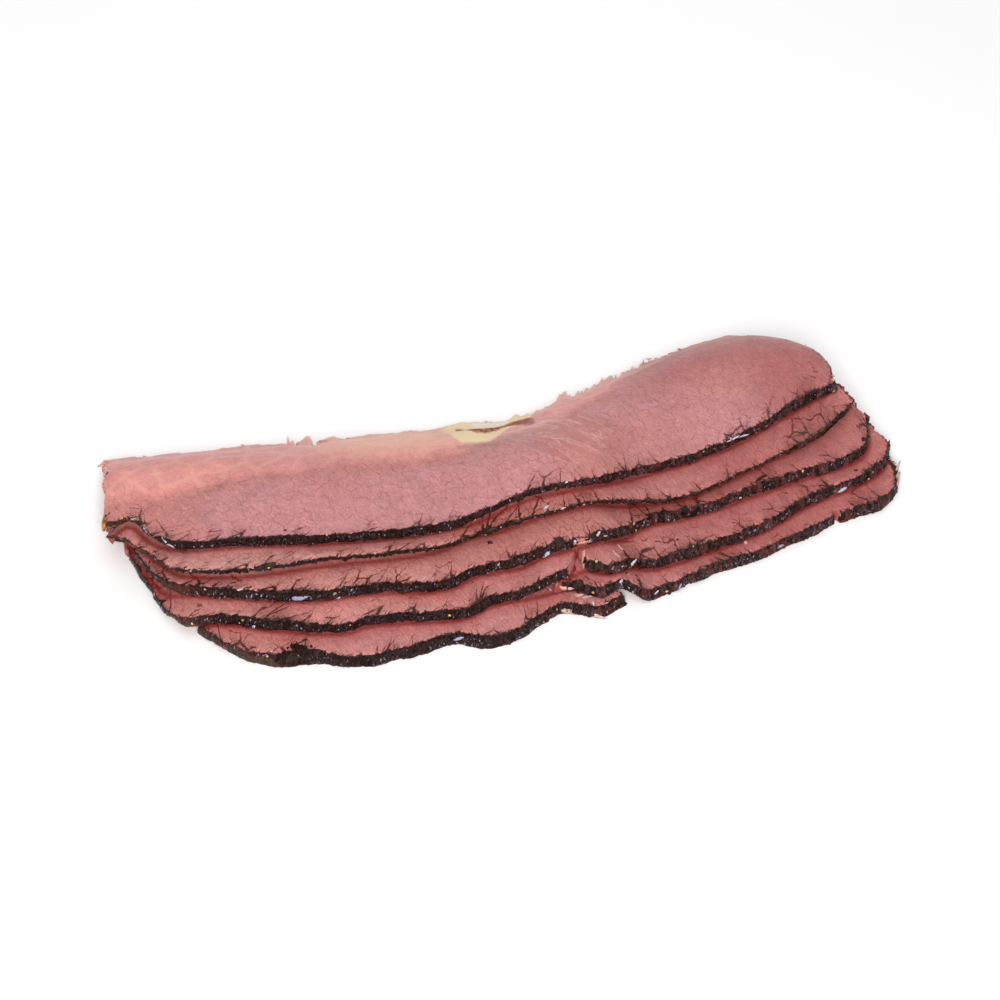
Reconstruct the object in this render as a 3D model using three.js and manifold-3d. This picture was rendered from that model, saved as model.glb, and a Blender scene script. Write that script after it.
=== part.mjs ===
// Smoked brisket: a portion of five thin slices, cut one after another and laid in a shingled pile.
// Each slice lies a little behind the one below it, so every crusted front edge shows, and it hangs
// down over the back edges below. The lowest slice is torn through, and its two lobes overlap.
// Millimetres. +X runs along the pile, +Y to its back, +Z up. The origin is under the middle of it.

import * as THREE from "three";
import { mergeVertices } from "three/addons/utils/BufferGeometryUtils.js";
import Module from "manifold-3d";

// Driving dimensions.
const SLICE_THICKNESS = 3.0;
const SLICE_GAP = 0.5;
const LAYER = SLICE_THICKNESS + SLICE_GAP;
const DRAPE_REACH = 10;
const DRAPE_SOFTENING = 0.5;
const EDGE_ROUNDING = 0.35;

// The crusted side of a slice leans out towards its foot by this much or its own lean, less at the
// left end. The lifted slice leans in instead. The crust begins this share of the way from the back
// edge to the front.
const CRUST_LEAN = 0.5;
const LIFTED_LEAN = -2.0;
const TORN_LEAN = 0.25;
const LEFT_END_SHARE = 0.3;
const LEFT_END_LENGTH = 0.1;
const CRUST_FROM = 0.4;

// Relief of the sides: how far the crags stand out, and how far the edges wander.
const CRAG_DEPTH = 0.45;
const CRAG_EVENNESS = 0.6;
const EDGE_WANDER = 0.35;
const TORN_WANDER = 0.6;

// The front of the second slice stands clear of the third along its left half.
const LIFT_HEIGHT = 1.7;
const LIFT_REACH = 8;
const LIFT_FROM = -101;
const LIFT_TO = -15;
const LIFT_FADE = 16;
const LIFT_BACK_LIMIT = 0;

// Spice stones on the crust: cracked pepper and seeds, with the shares by which they vary.
const STONE_RADIUS = 0.65;
const STONE_OFFSET = 0.5;
const STONE_HEIGHT = 0.55 * SLICE_THICKNESS;
const STONES_FROM = 0.08;
const STONE_SPACING_VARIES = 0.35;
const STONE_SIZE_VARIES = 0.25;

// Slow swell of the whole pile: each height is scaled by a wave over the plan.
const SWELL = 0.06;
const SWELL_PHASE = 0.6;
const SWELL_LENGTH_X = 62;
const SWELL_LENGTH_Y = 55;

// Fineness of the faceted surfaces: points on an edge, and shares of the way from back to front.
const OUTLINE_STEPS = 110;
const CLOSEST_STATIONS = 0.25;
const SLICE_ROWS = [0, 0.08, 0.17, 0.26, 0.36, 0.47, 0.6, 0.74, 0.88, 1];
const LOBE_ROWS = [0, 0.2, 0.4, 0.6, 0.78, 0.92, 1];
const SEED = 41;

const MEAT = 0xc88886;
const MEAT_ROUGHNESS = 0.45;

// Edges in the plan, from the left end to the right end. The hidden back edges have the form of the
// top slice's, each about 7 mm in front of the one above it. A notch is a tear: where it is along X,
// half its width, and how deep it goes. Level 1 is the top of the pile.
const SLICES = [
  {
    name: "slice_5_left",
    level: 5,
    columns: 30,
    rows: LOBE_ROWS,
    stones: 5,
    lean: 1.3,
    front: [
      [-88, -26.5], [-80.5, -36], [-68.5, -42], [-61.5, -42.5], [-50.5, -46.5], [-38.5, -46.8],
      [-25, -45], [-16.5, -48.6], [-10, -47.8], [4.5, -41.8], [15, -44.5], [20, -42.5],
    ],
    back: [
      [-87, -16], [-79, -6], [-63, 0], [-41, -2], [-16, -4], [3, -6], [13, -8],
      [16, -20],
    ],
  },
  {
    name: "slice_5_right",
    level: 5,
    columns: 36,
    rows: LOBE_ROWS,
    stones: 5,
    lean: 0.7,
    front: [
      [4, -37], [9, -38], [15, -41.5], [20.5, -40], [27, -43], [33.5, -41.5], [47.5, -38], [62, -35],
      [76.5, -30.5], [84, -28], [90, -26.8], [97, -25.6], [102.5, -22], [105.3, -14.5],
    ],
    back: [
      [7, -22], [5, -8], [19, -4], [39, 1], [57, 10.5], [71, 16.5], [83, 17], [92, 12],
      [100, 4], [104, -6],
    ],
    notches: [{ at: 84.5, half: 1.6, deep: 3 }],
  },
  {
    name: "slice_4",
    level: 4,
    columns: 52,
    rows: SLICE_ROWS,
    stones: 6,
    front: [
      [-101.5, 4.5], [-98.5, -8], [-95.5, -19], [-91, -25.8], [-81.5, -27.5], [-70, -32.5], [-52, -38],
      [-45.5, -37], [-21, -40.5], [-14, -38], [0, -37.5], [6.5, -36.5], [13, -34.5], [19, -37.5],
      [25.5, -34.5], [31.5, -35.5], [42, -34], [63.5, -29], [79, -22.5], [94, -18.5], [102, -14],
      [106, -7.5],
    ],
    back: [
      [-100, 16.5], [-67, 13.5], [-28, 9], [-7, 6.5], [9, 5.5], [21, 9.5], [37, 14], [53, 20], [67, 24.5],
      [78, 25.5], [87, 21.5], [93, 16.5], [99, 9.5], [103, 1.5],
    ],
    notches: [{ at: 10.2, half: 2.9, deep: 6 }],
  },
  {
    name: "slice_3",
    level: 3,
    columns: 52,
    rows: SLICE_ROWS,
    stones: 6,
    front: [
      [-100.5, 1], [-97.5, -7], [-93.5, -14.5], [-89, -18], [-77, -22.5], [-59.5, -28], [-41, -29.5],
      [-28.5, -32.5], [-22.5, -32.5], [-15.5, -30], [4.5, -30], [20.5, -28.5], [28, -25],
      [33.5, -23], [45, -22.5], [70, -18], [96, -12], [99, -8.5], [102, 1],
    ],
    back: [
      [-99, 24], [-67, 20.5], [-28, 16.5], [-7, 13.5], [9, 12.5], [21, 17], [37, 21.5], [53, 27.5],
      [67, 31.5], [78, 33], [87, 29], [93.5, 22.5], [97, 15.5], [100, 8.5],
    ],
  },
  {
    name: "slice_2",
    level: 2,
    columns: 52,
    rows: SLICE_ROWS,
    stones: 0,
    front: [
      [-106.2, 7], [-101.5, 1.2], [-96, -7.4], [-91.5, -15.5], [-73.5, -21], [-48.5, -23],
      [-33, -24.5], [-23.5, -24.3], [-13.5, -21.6], [5.5, -22], [26, -20.5], [45.5, -21], [56.5, -18],
      [79, -10.5], [87, -6.5], [99, 3.5],
    ],
    back: [
      [-101, 31.5], [-67, 28], [-28, 23.5], [-7, 20.5], [9, 20], [21, 24.5], [37, 29], [53, 34.5],
      [68, 39], [80, 39.5], [88, 35], [93, 28], [96, 19.5], [97, 11.5],
    ],
    lifted: true,
  },
  {
    name: "slice_1",
    level: 1,
    columns: 54,
    rows: SLICE_ROWS,
    stones: 6,
    lean: 0.1,
    front: [
      [-105.5, 10], [-107, 8], [-105, 5.5], [-100, 6], [-95.5, -2.5], [-90, -7.5], [-74.5, -11],
      [-47.5, -17.5], [-22, -18.7], [-12, -17.7], [1, -16.5], [20.5, -15.6], [28, -13], [38.5, -10.5],
      [59.5, -7.5], [70.5, -3.5], [87, 5], [95, 8],
    ],
    back: [
      [-102, 40.6], [-67, 37.3], [-27.5, 32.6], [-7, 31], [9, 29.5], [21.5, 33], [36.5, 37.5],
      [52.5, 43], [68.5, 47.2], [80, 47.5], [88, 41.5], [93.3, 33.5], [95.8, 25], [96.3, 16.5], [95.3, 11],
    ],
    backNotches: [{ at: -50, half: 0.9, deep: 9 }, { at: -44.6, half: 1.7, deep: 10 }],
    fringe: { from: 15, to: 57, deep: 1.1 },
    fatLump: { at: [-3, 21], size: [10, 8], rise: 0.8 },
  },
];

// A seeded draw between -1 and 1, the same on each run.
function makeDraw(seed) {
  let state = seed;
  return () => {
    state = (state * 1664525 + 1013904223) % 4294967296;
    return (state / 4294967296) * 2 - 1;
  };
}

function smooth(t) {
  const h = Math.min(Math.max(t, 0), 1);
  return h * h * (3 - 2 * h);
}

function between(from, to, t) {
  return [from[0] + (to[0] - from[0]) * t, from[1] + (to[1] - from[1]) * t];
}

// A smooth plan curve through the points, read by the share of its length.
function planCurve(points) {
  const curve = new THREE.CatmullRomCurve3(
    points.map(([x, y]) => new THREE.Vector3(x, y, 0)), false, "centripetal");
  curve.arcLengthDivisions = 400;
  return (share) => {
    const p = curve.getPointAt(Math.min(Math.max(share, 0), 1));
    return [p.x, p.y];
  };
}

// Gives each slice its edge curves and the closed outline that the slices above it feel.
function prepare(slice) {
  slice.frontCurve = planCurve(slice.front);
  slice.backCurve = planCurve(slice.back);
  slice.outline = [];
  for (let i = 0; i <= OUTLINE_STEPS; i++) {
    slice.outline.push(slice.frontCurve(i / OUTLINE_STEPS));
  }
  for (let i = OUTLINE_STEPS; i >= 0; i--) {
    slice.outline.push(slice.backCurve(i / OUTLINE_STEPS));
  }
}

// Distance from a plan point to an outline, more than zero inside it.
function insideDistance([px, py], outline) {
  let nearest = Infinity;
  let inside = false;
  for (let i = 0; i < outline.length; i++) {
    const [ax, ay] = outline[i];
    const [bx, by] = outline[(i + 1) % outline.length];
    const ex = bx - ax;
    const ey = by - ay;
    const along = ((px - ax) * ex + (py - ay) * ey) / Math.max(ex * ex + ey * ey, 1e-12);
    const t = Math.min(Math.max(along, 0), 1);
    nearest = Math.min(nearest, Math.hypot(px - ax - ex * t, py - ay - ey * t));
    if ((ay > py) !== (by > py) && px < ((bx - ax) * (py - ay)) / (by - ay) + ax) {
      inside = !inside;
    }
  }
  return inside ? nearest : -nearest;
}

// How far the front of a lifted slice stands up at a plan point, so many mm inside its edge.
function liftHeight([x, y], distance) {
  if (y > LIFT_BACK_LIMIT) {
    return 0;
  }
  const along = smooth((x - LIFT_FROM) / LIFT_FADE) * smooth((LIFT_TO - x) / LIFT_FADE);
  return LIFT_HEIGHT * along * smooth(1 - Math.abs(distance) / LIFT_REACH);
}

// Height of what lies under a slice: one layer over each slice below, falling away past its edge.
// The more slices lie between, the softer the fall.
function restingHeight(point, slice, below) {
  let height = 0;
  for (const lower of below) {
    const distance = insideDistance(point, lower.outline);
    const layersBetween = Math.max(lower.level - slice.level - 1, 0);
    const reach = DRAPE_REACH * (1 + DRAPE_SOFTENING * layersBetween);
    height += LAYER * smooth(1 + distance / reach);
    if (lower.lifted) {
      height += liftHeight(point, distance);
    }
  }
  if (slice.lifted) {
    height += liftHeight(point, insideDistance(point, slice.outline));
  }
  return height;
}

// Slow swell over the pile. The table stays flat, since a height of nothing is kept.
function swell([x, y], height) {
  const along = Math.sin((x / SWELL_LENGTH_X) * 2 * Math.PI + SWELL_PHASE);
  const across = Math.cos((y / SWELL_LENGTH_Y) * Math.PI);
  return height * (1 + SWELL * along * across);
}

function lumpHeight([x, y], lump) {
  if (!lump) {
    return 0;
  }
  const dx = (x - lump.at[0]) / lump.size[0];
  const dy = (y - lump.at[1]) / lump.size[1];
  return lump.rise * smooth(1 - Math.hypot(dx, dy));
}

// Depth of the tears at a place along X.
function notchDepth(x, notches = []) {
  let depth = 0;
  for (const { at, half, deep } of notches) {
    depth = Math.max(depth, deep * (1 - Math.abs(x - at) / half));
  }
  return depth;
}

// Shares along an edge: even steps, with each tear's two lips and its root added.
function stations(slice) {
  const shares = [];
  for (let i = 0; i <= slice.columns; i++) {
    shares.push(i / slice.columns);
  }
  const addMarks = (curve, notches = []) => {
    for (const { at, half } of notches) {
      for (const x of [at - half, at, at + half]) {
        shares.push(shareAtX(curve, x));
      }
    }
  };
  addMarks(slice.frontCurve, slice.notches);
  addMarks(slice.backCurve, slice.backNotches);
  shares.sort((a, b) => a - b);
  const closest = CLOSEST_STATIONS / slice.columns;
  const marked = (share) => !Number.isInteger(Math.round(share * slice.columns * 1e6) / 1e6);
  return shares.filter((share, i) => {
    const crowded = shares.some((other, j) => j !== i && marked(other) && Math.abs(other - share) < closest);
    return marked(share) || !crowded;
  });
}

function shareAtX(curve, x) {
  let low = 0;
  let high = 1;
  for (let i = 0; i < 40; i++) {
    const middle = (low + high) / 2;
    if (curve(middle)[0] < x) {
      low = middle;
    } else {
      high = middle;
    }
  }
  return (low + high) / 2;
}

// Plan places of the slice's vertices, one row of them for each station.
function planGrid(slice, draw) {
  return stations(slice).map((share, i, all) => {
    const front = slice.frontCurve(share);
    const back = slice.backCurve(share);
    const length = Math.hypot(front[0] - back[0], front[1] - back[1]);
    const inner = i > 0 && i < all.length - 1;
    const frayed = slice.fringe && back[0] > slice.fringe.from && back[0] < slice.fringe.to;
    const backWander = frayed ? slice.fringe.deep : TORN_WANDER;
    const frontCut = notchDepth(front[0], slice.notches) + (inner ? EDGE_WANDER * draw() : 0);
    const backCut = notchDepth(back[0], slice.backNotches) + (inner ? backWander * draw() : 0);
    const shares = slice.rows.map((row) => (backCut + (length - frontCut - backCut) * row) / length);
    return shares.map((row) => between(back, front, row));
  });
}

// The grid's border as [column, row] pairs, counterclockwise seen from above.
function borderOf(columns, rows) {
  const border = [];
  for (let c = 0; c < columns; c++) {
    border.push([c, rows]);
  }
  for (let r = rows; r > 0; r--) {
    border.push([columns, r]);
  }
  for (let c = columns; c > 0; c--) {
    border.push([c, 0]);
  }
  for (let r = 0; r < rows; r++) {
    border.push([0, r]);
  }
  return border;
}

// How far the foot of the side stands out from its top edge: the crust leans out in front and at
// the right end, less at the left end, and the back is a plain tear.
function leanAt(slice, columnShare, rowShare) {
  const fromLeftEnd = smooth(columnShare / LEFT_END_LENGTH);
  const leaning = (slice.lean ?? CRUST_LEAN) * (LEFT_END_SHARE + (1 - LEFT_END_SHARE) * fromLeftEnd);
  const crust = slice.lifted ? LIFTED_LEAN : leaning;
  return TORN_LEAN + (crust - TORN_LEAN) * smooth((rowShare - CRUST_FROM) / (1 - CRUST_FROM));
}

// For each place on the border, the plan direction that points out of the slice, and the lean.
function sidesOf(slice, grid, border) {
  const columns = grid.length - 1;
  const rows = slice.rows.length - 1;
  return border.map(([c, r], i) => {
    const [c0, r0] = border[(i + border.length - 1) % border.length];
    const [c1, r1] = border[(i + 1) % border.length];
    const dx = grid[c1][r1][0] - grid[c0][r0][0];
    const dy = grid[c1][r1][1] - grid[c0][r0][1];
    const length = Math.hypot(dx, dy) || 1;
    return { out: [dy / length, -dx / length], lean: leanAt(slice, c / columns, r / rows) };
  });
}

function moved([x, y], [dx, dy], distance) {
  return [x + dx * distance, y + dy * distance];
}

// One slice as a closed mesh: a top and a foot over the same plan grid, joined by a craggy side.
function sliceShell(slice, below, draw) {
  const grid = planGrid(slice, draw);
  const columns = grid.length - 1;
  const rows = slice.rows.length - 1;
  const border = borderOf(columns, rows);
  const sides = sidesOf(slice, grid, border);
  const sideOf = new Map(border.map((cell, i) => [cell.join(), sides[i]]));
  const positions = [];
  const faces = [];
  const heightOver = (point, extra) => swell(point, restingHeight(point, slice, below) + extra);
  const place = (point, extra) => {
    const index = positions.length / 3;
    positions.push(...point, heightOver(point, extra));
    return index;
  };
  const quad = (a, b, c, d) => faces.push(a, b, c, a, c, d);

  const top = grid.map((column, c) => column.map((point, r) => {
    const rounding = sideOf.has([c, r].join()) ? EDGE_ROUNDING : 0;
    return place(point, SLICE_THICKNESS - rounding + lumpHeight(point, slice.fatLump));
  }));
  const foot = grid.map((column, c) => column.map((point, r) => {
    const side = sideOf.get([c, r].join());
    return place(side ? moved(point, side.out, side.lean) : point, 0);
  }));
  const middle = border.map(([c, r], i) => {
    const crag = CRAG_DEPTH * (CRAG_EVENNESS + (1 - CRAG_EVENNESS) * draw());
    return place(moved(grid[c][r], sides[i].out, sides[i].lean / 2 + crag), SLICE_THICKNESS / 2);
  });

  for (let c = 0; c < columns; c++) {
    for (let r = 0; r < rows; r++) {
      quad(top[c][r + 1], top[c + 1][r + 1], top[c + 1][r], top[c][r]);
      quad(foot[c][r], foot[c + 1][r], foot[c + 1][r + 1], foot[c][r + 1]);
    }
  }
  border.forEach(([c, r], i) => {
    const next = (i + 1) % border.length;
    const [nc, nr] = border[next];
    quad(middle[i], middle[next], top[nc][nr], top[c][r]);
    quad(foot[c][r], foot[nc][nr], middle[next], middle[i]);
  });
  return closedGeometry(new Float32Array(positions), faces);
}

function closedGeometry(positions, faces) {
  const geometry = new THREE.BufferGeometry();
  geometry.setAttribute("position", new THREE.BufferAttribute(positions, 3));
  geometry.setIndex(new THREE.BufferAttribute(new Uint32Array(faces), 1));
  return geometry;
}

// Coarse spice on the crusted front side: cracked pepper and seeds, half sunk into it.
function spiceStones(slice, below, draw) {
  const stones = [];
  for (let i = 0; i < slice.stones; i++) {
    const place = (i + 0.5 + STONE_SPACING_VARIES * draw()) / slice.stones;
    const [x, y] = slice.frontCurve(STONES_FROM + (1 - 2 * STONES_FROM) * place);
    const point = [x, y + notchDepth(x, slice.notches) - STONE_OFFSET];
    const height = restingHeight(point, slice, below) + STONE_HEIGHT;
    const stone = new THREE.IcosahedronGeometry(STONE_RADIUS * (1 + STONE_SIZE_VARIES * draw()), 0);
    stone.rotateX(draw() * Math.PI);
    stone.rotateZ(draw() * Math.PI);
    stone.translate(point[0], point[1], swell(point, height));
    stones.push(stone);
  }
  return stones;
}

function asSolid(geometry) {
  const bare = geometry.clone();
  bare.deleteAttribute("normal");
  bare.deleteAttribute("uv");
  const merged = mergeVertices(bare);
  const vertProperties = new Float32Array(merged.getAttribute("position").array);
  const triVerts = new Uint32Array(merged.index.array);
  return new wasm.Manifold(new wasm.Mesh({ numProp: 3, vertProperties, triVerts }));
}

// The slice with its spice stones fused on, as one closed body.
function sliceGeometry(slice, below) {
  const draw = makeDraw(SEED + slice.level * 13 + slice.columns);
  let body = asSolid(sliceShell(slice, below, draw));
  for (const stone of spiceStones(slice, below, draw)) {
    body = body.add(asSolid(stone));
  }
  const { vertProperties, triVerts } = body.getMesh();
  const geometry = closedGeometry(vertProperties, triVerts);
  geometry.computeVertexNormals();
  return geometry;
}

function sliceMaterial() {
  return new THREE.MeshStandardMaterial({ color: MEAT, roughness: MEAT_ROUGHNESS, metalness: 0 });
}

const wasm = await Module();
wasm.setup();

const pile = new THREE.Group();
const laid = [];
for (const slice of SLICES) {
  prepare(slice);
  const mesh = new THREE.Mesh(sliceGeometry(slice, laid), sliceMaterial());
  mesh.name = slice.name;
  pile.add(mesh);
  laid.push(slice);
}

export default pile;
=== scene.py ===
"""Smoked brisket: five thin slices in a shingled pile, with dark spice crust on every front edge.

The slices are surfaces worked out in millimetres from the same edges and height rule as the solids
they stand for, and put into the meshes in metres.
"""

import math

import bpy
import numpy as np
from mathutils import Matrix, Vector


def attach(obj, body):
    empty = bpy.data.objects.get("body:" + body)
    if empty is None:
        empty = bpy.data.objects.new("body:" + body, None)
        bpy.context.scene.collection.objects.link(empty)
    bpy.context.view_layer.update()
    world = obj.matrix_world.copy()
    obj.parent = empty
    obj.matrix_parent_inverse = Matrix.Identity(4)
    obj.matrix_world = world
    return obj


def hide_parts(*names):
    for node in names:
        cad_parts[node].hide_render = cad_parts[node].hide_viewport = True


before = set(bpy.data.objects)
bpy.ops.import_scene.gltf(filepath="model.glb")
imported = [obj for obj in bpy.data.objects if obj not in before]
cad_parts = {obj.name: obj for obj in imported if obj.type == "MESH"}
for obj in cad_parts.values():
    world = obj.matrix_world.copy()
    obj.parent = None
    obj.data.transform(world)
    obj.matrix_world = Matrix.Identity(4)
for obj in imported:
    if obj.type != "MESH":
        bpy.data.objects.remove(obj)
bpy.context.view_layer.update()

MM = 0.001

# Driving dimensions of the pile, in millimetres, as in the solids.
THICK = 3.0
LAYER = THICK + 0.5
DRAPE_REACH = 10
DRAPE_SOFTENING = 0.5
EDGE_ROUNDING = 0.35
LIFTED_LEAN = -2.0
TORN_LEAN = 0.25
CRUST_FROM = 0.4
LIFT_HEIGHT = 1.7
LIFT_REACH = 8
LIFT_FROM = -101
LIFT_TO = -15
LIFT_FADE = 16
SWELL = 0.06
SWELL_PHASE = 0.6
SWELL_LENGTH_X = 62
SWELL_LENGTH_Y = 55
OUTLINE_STEPS = 110

# Rims of the top face, in millimetres: how far they are rounded and thinned, and how wide that is.
TORN_ROUNDING_WIDTH = 0.8
CRUST_ROUNDING = 0.15
CRUST_ROUNDING_WIDTH = 0.5
THINNING = 0.5
THINNING_WIDTH = 3.5
CRUMBLY_WIDTH = 1.2
KNOB_WIDTH = 2.5

# The side, in millimetres: how far crags and knobs stand out, what share of that is left without
# crust, how thick the crust is at the left ends, how fast it fades to that, and how fast at a tear.
CRAG = 0.2
KNOB_OUT = 0.8
CRUSTLESS = 0.35
THIN_CRUST = 0.6
THIN_FADE = 6
TEAR_FADE = 1.2

# How far brown stain and cracks run in from the crust, in millimetres: as a rule, how much further
# where cracks are long or in a cluster, and how far in a tear.
STAIN = 0.5
STAIN_IN_CLUSTER = 0.5
STAIN_IN_TEAR = 0.08
CRACK = 1.6
LONG_CRACK = 5.0
CRACK_IN_CLUSTER = 1.8
CRACK_IN_TEAR = 0.2

# Bands on the top face, in millimetres: a deep red painted contact shadow and wider painted shade by the
# foot of the slice above, and the pale torn rim. The lines by the fat are read with Y squeezed by a share.
CONTACT_SHADOW_WIDTH = 1.4
SHADE_RED_WIDTH = 5.5
PALE_RIM_WIDTH = 3.5
LINE_SQUEEZE = 0.4

# Loose bits on the side point up by this much for each mm out, and none is lower than this, in mm.
UPWARD = 0.3
LOWEST_BIT = 0.02

# Cells along each side of the random fields' lattice, before it repeats.
LATTICE = 128

# Fineness of the shown surfaces: steps of the curves, pitch of the columns in mm, rows in mm from the
# crust's rim and from the torn one, and how many there are of the rest.
SPLINE_STEPS = 40
MEASURING_STEPS = 200
STATION_PITCH = 0.33
RIM_ROWS = [0, 0.16, 0.36, 0.6, 0.9, 1.25, 1.65, 2.1, 2.6, 3.2, 3.9, 4.7, 5.6]
TORN_ROWS = [0, 0.25, 0.6, 1.1, 1.7, 2.5, 3.5, 4.7]
MIDDLE_ROWS = 40
SIDE_RINGS = 13
FOOT_ROWS = 8
END_COLUMNS = 9

# Random relief, as waves: how high in mm, or how strong, how long in mm, and a step of the seed.
WAVES = {
    "front_edge": ((0.3, 2.4, 0), (0.16, 0.8, 1)),
    "torn_edge": ((0.6, 5.3, 2), (0.25, 1.7, 3)),
    "torn_tags": ((0.3, 0.8, 19),),
    "fringe": ((2.6, 0.9, 4),),
    "ends": ((0.9, 2.2, 21), (0.6, 0.8, 22)),
    "lean": ((0.4, 7, 15),),
    "crumbs": ((0.22, 0.6, 16),),
    "uneven": ((0.13, 5, 5), (0.07, 1.9, 6)),
    "ribs": ((0.3, 1.0, 7),),
    "grit": ((0.24, 0.5, 8),),
    "lumps": ((0.38, 2.4, 9),),
    "stain": ((0.35, 2.5, 10), (0.2, 0.9, 14)),
    "long_cracks": ((1, 3.2, 17),),
    "patches": ((1, 14, 11), (0.5, 5, 12)),
    # Where the meat is cool lilac, partly a painted sheen of the wet film.
    "cool_sheen_patches": ((0.9, 23, 13),),
    "crust_end": ((1, 0.9, 20),),
}
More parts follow.
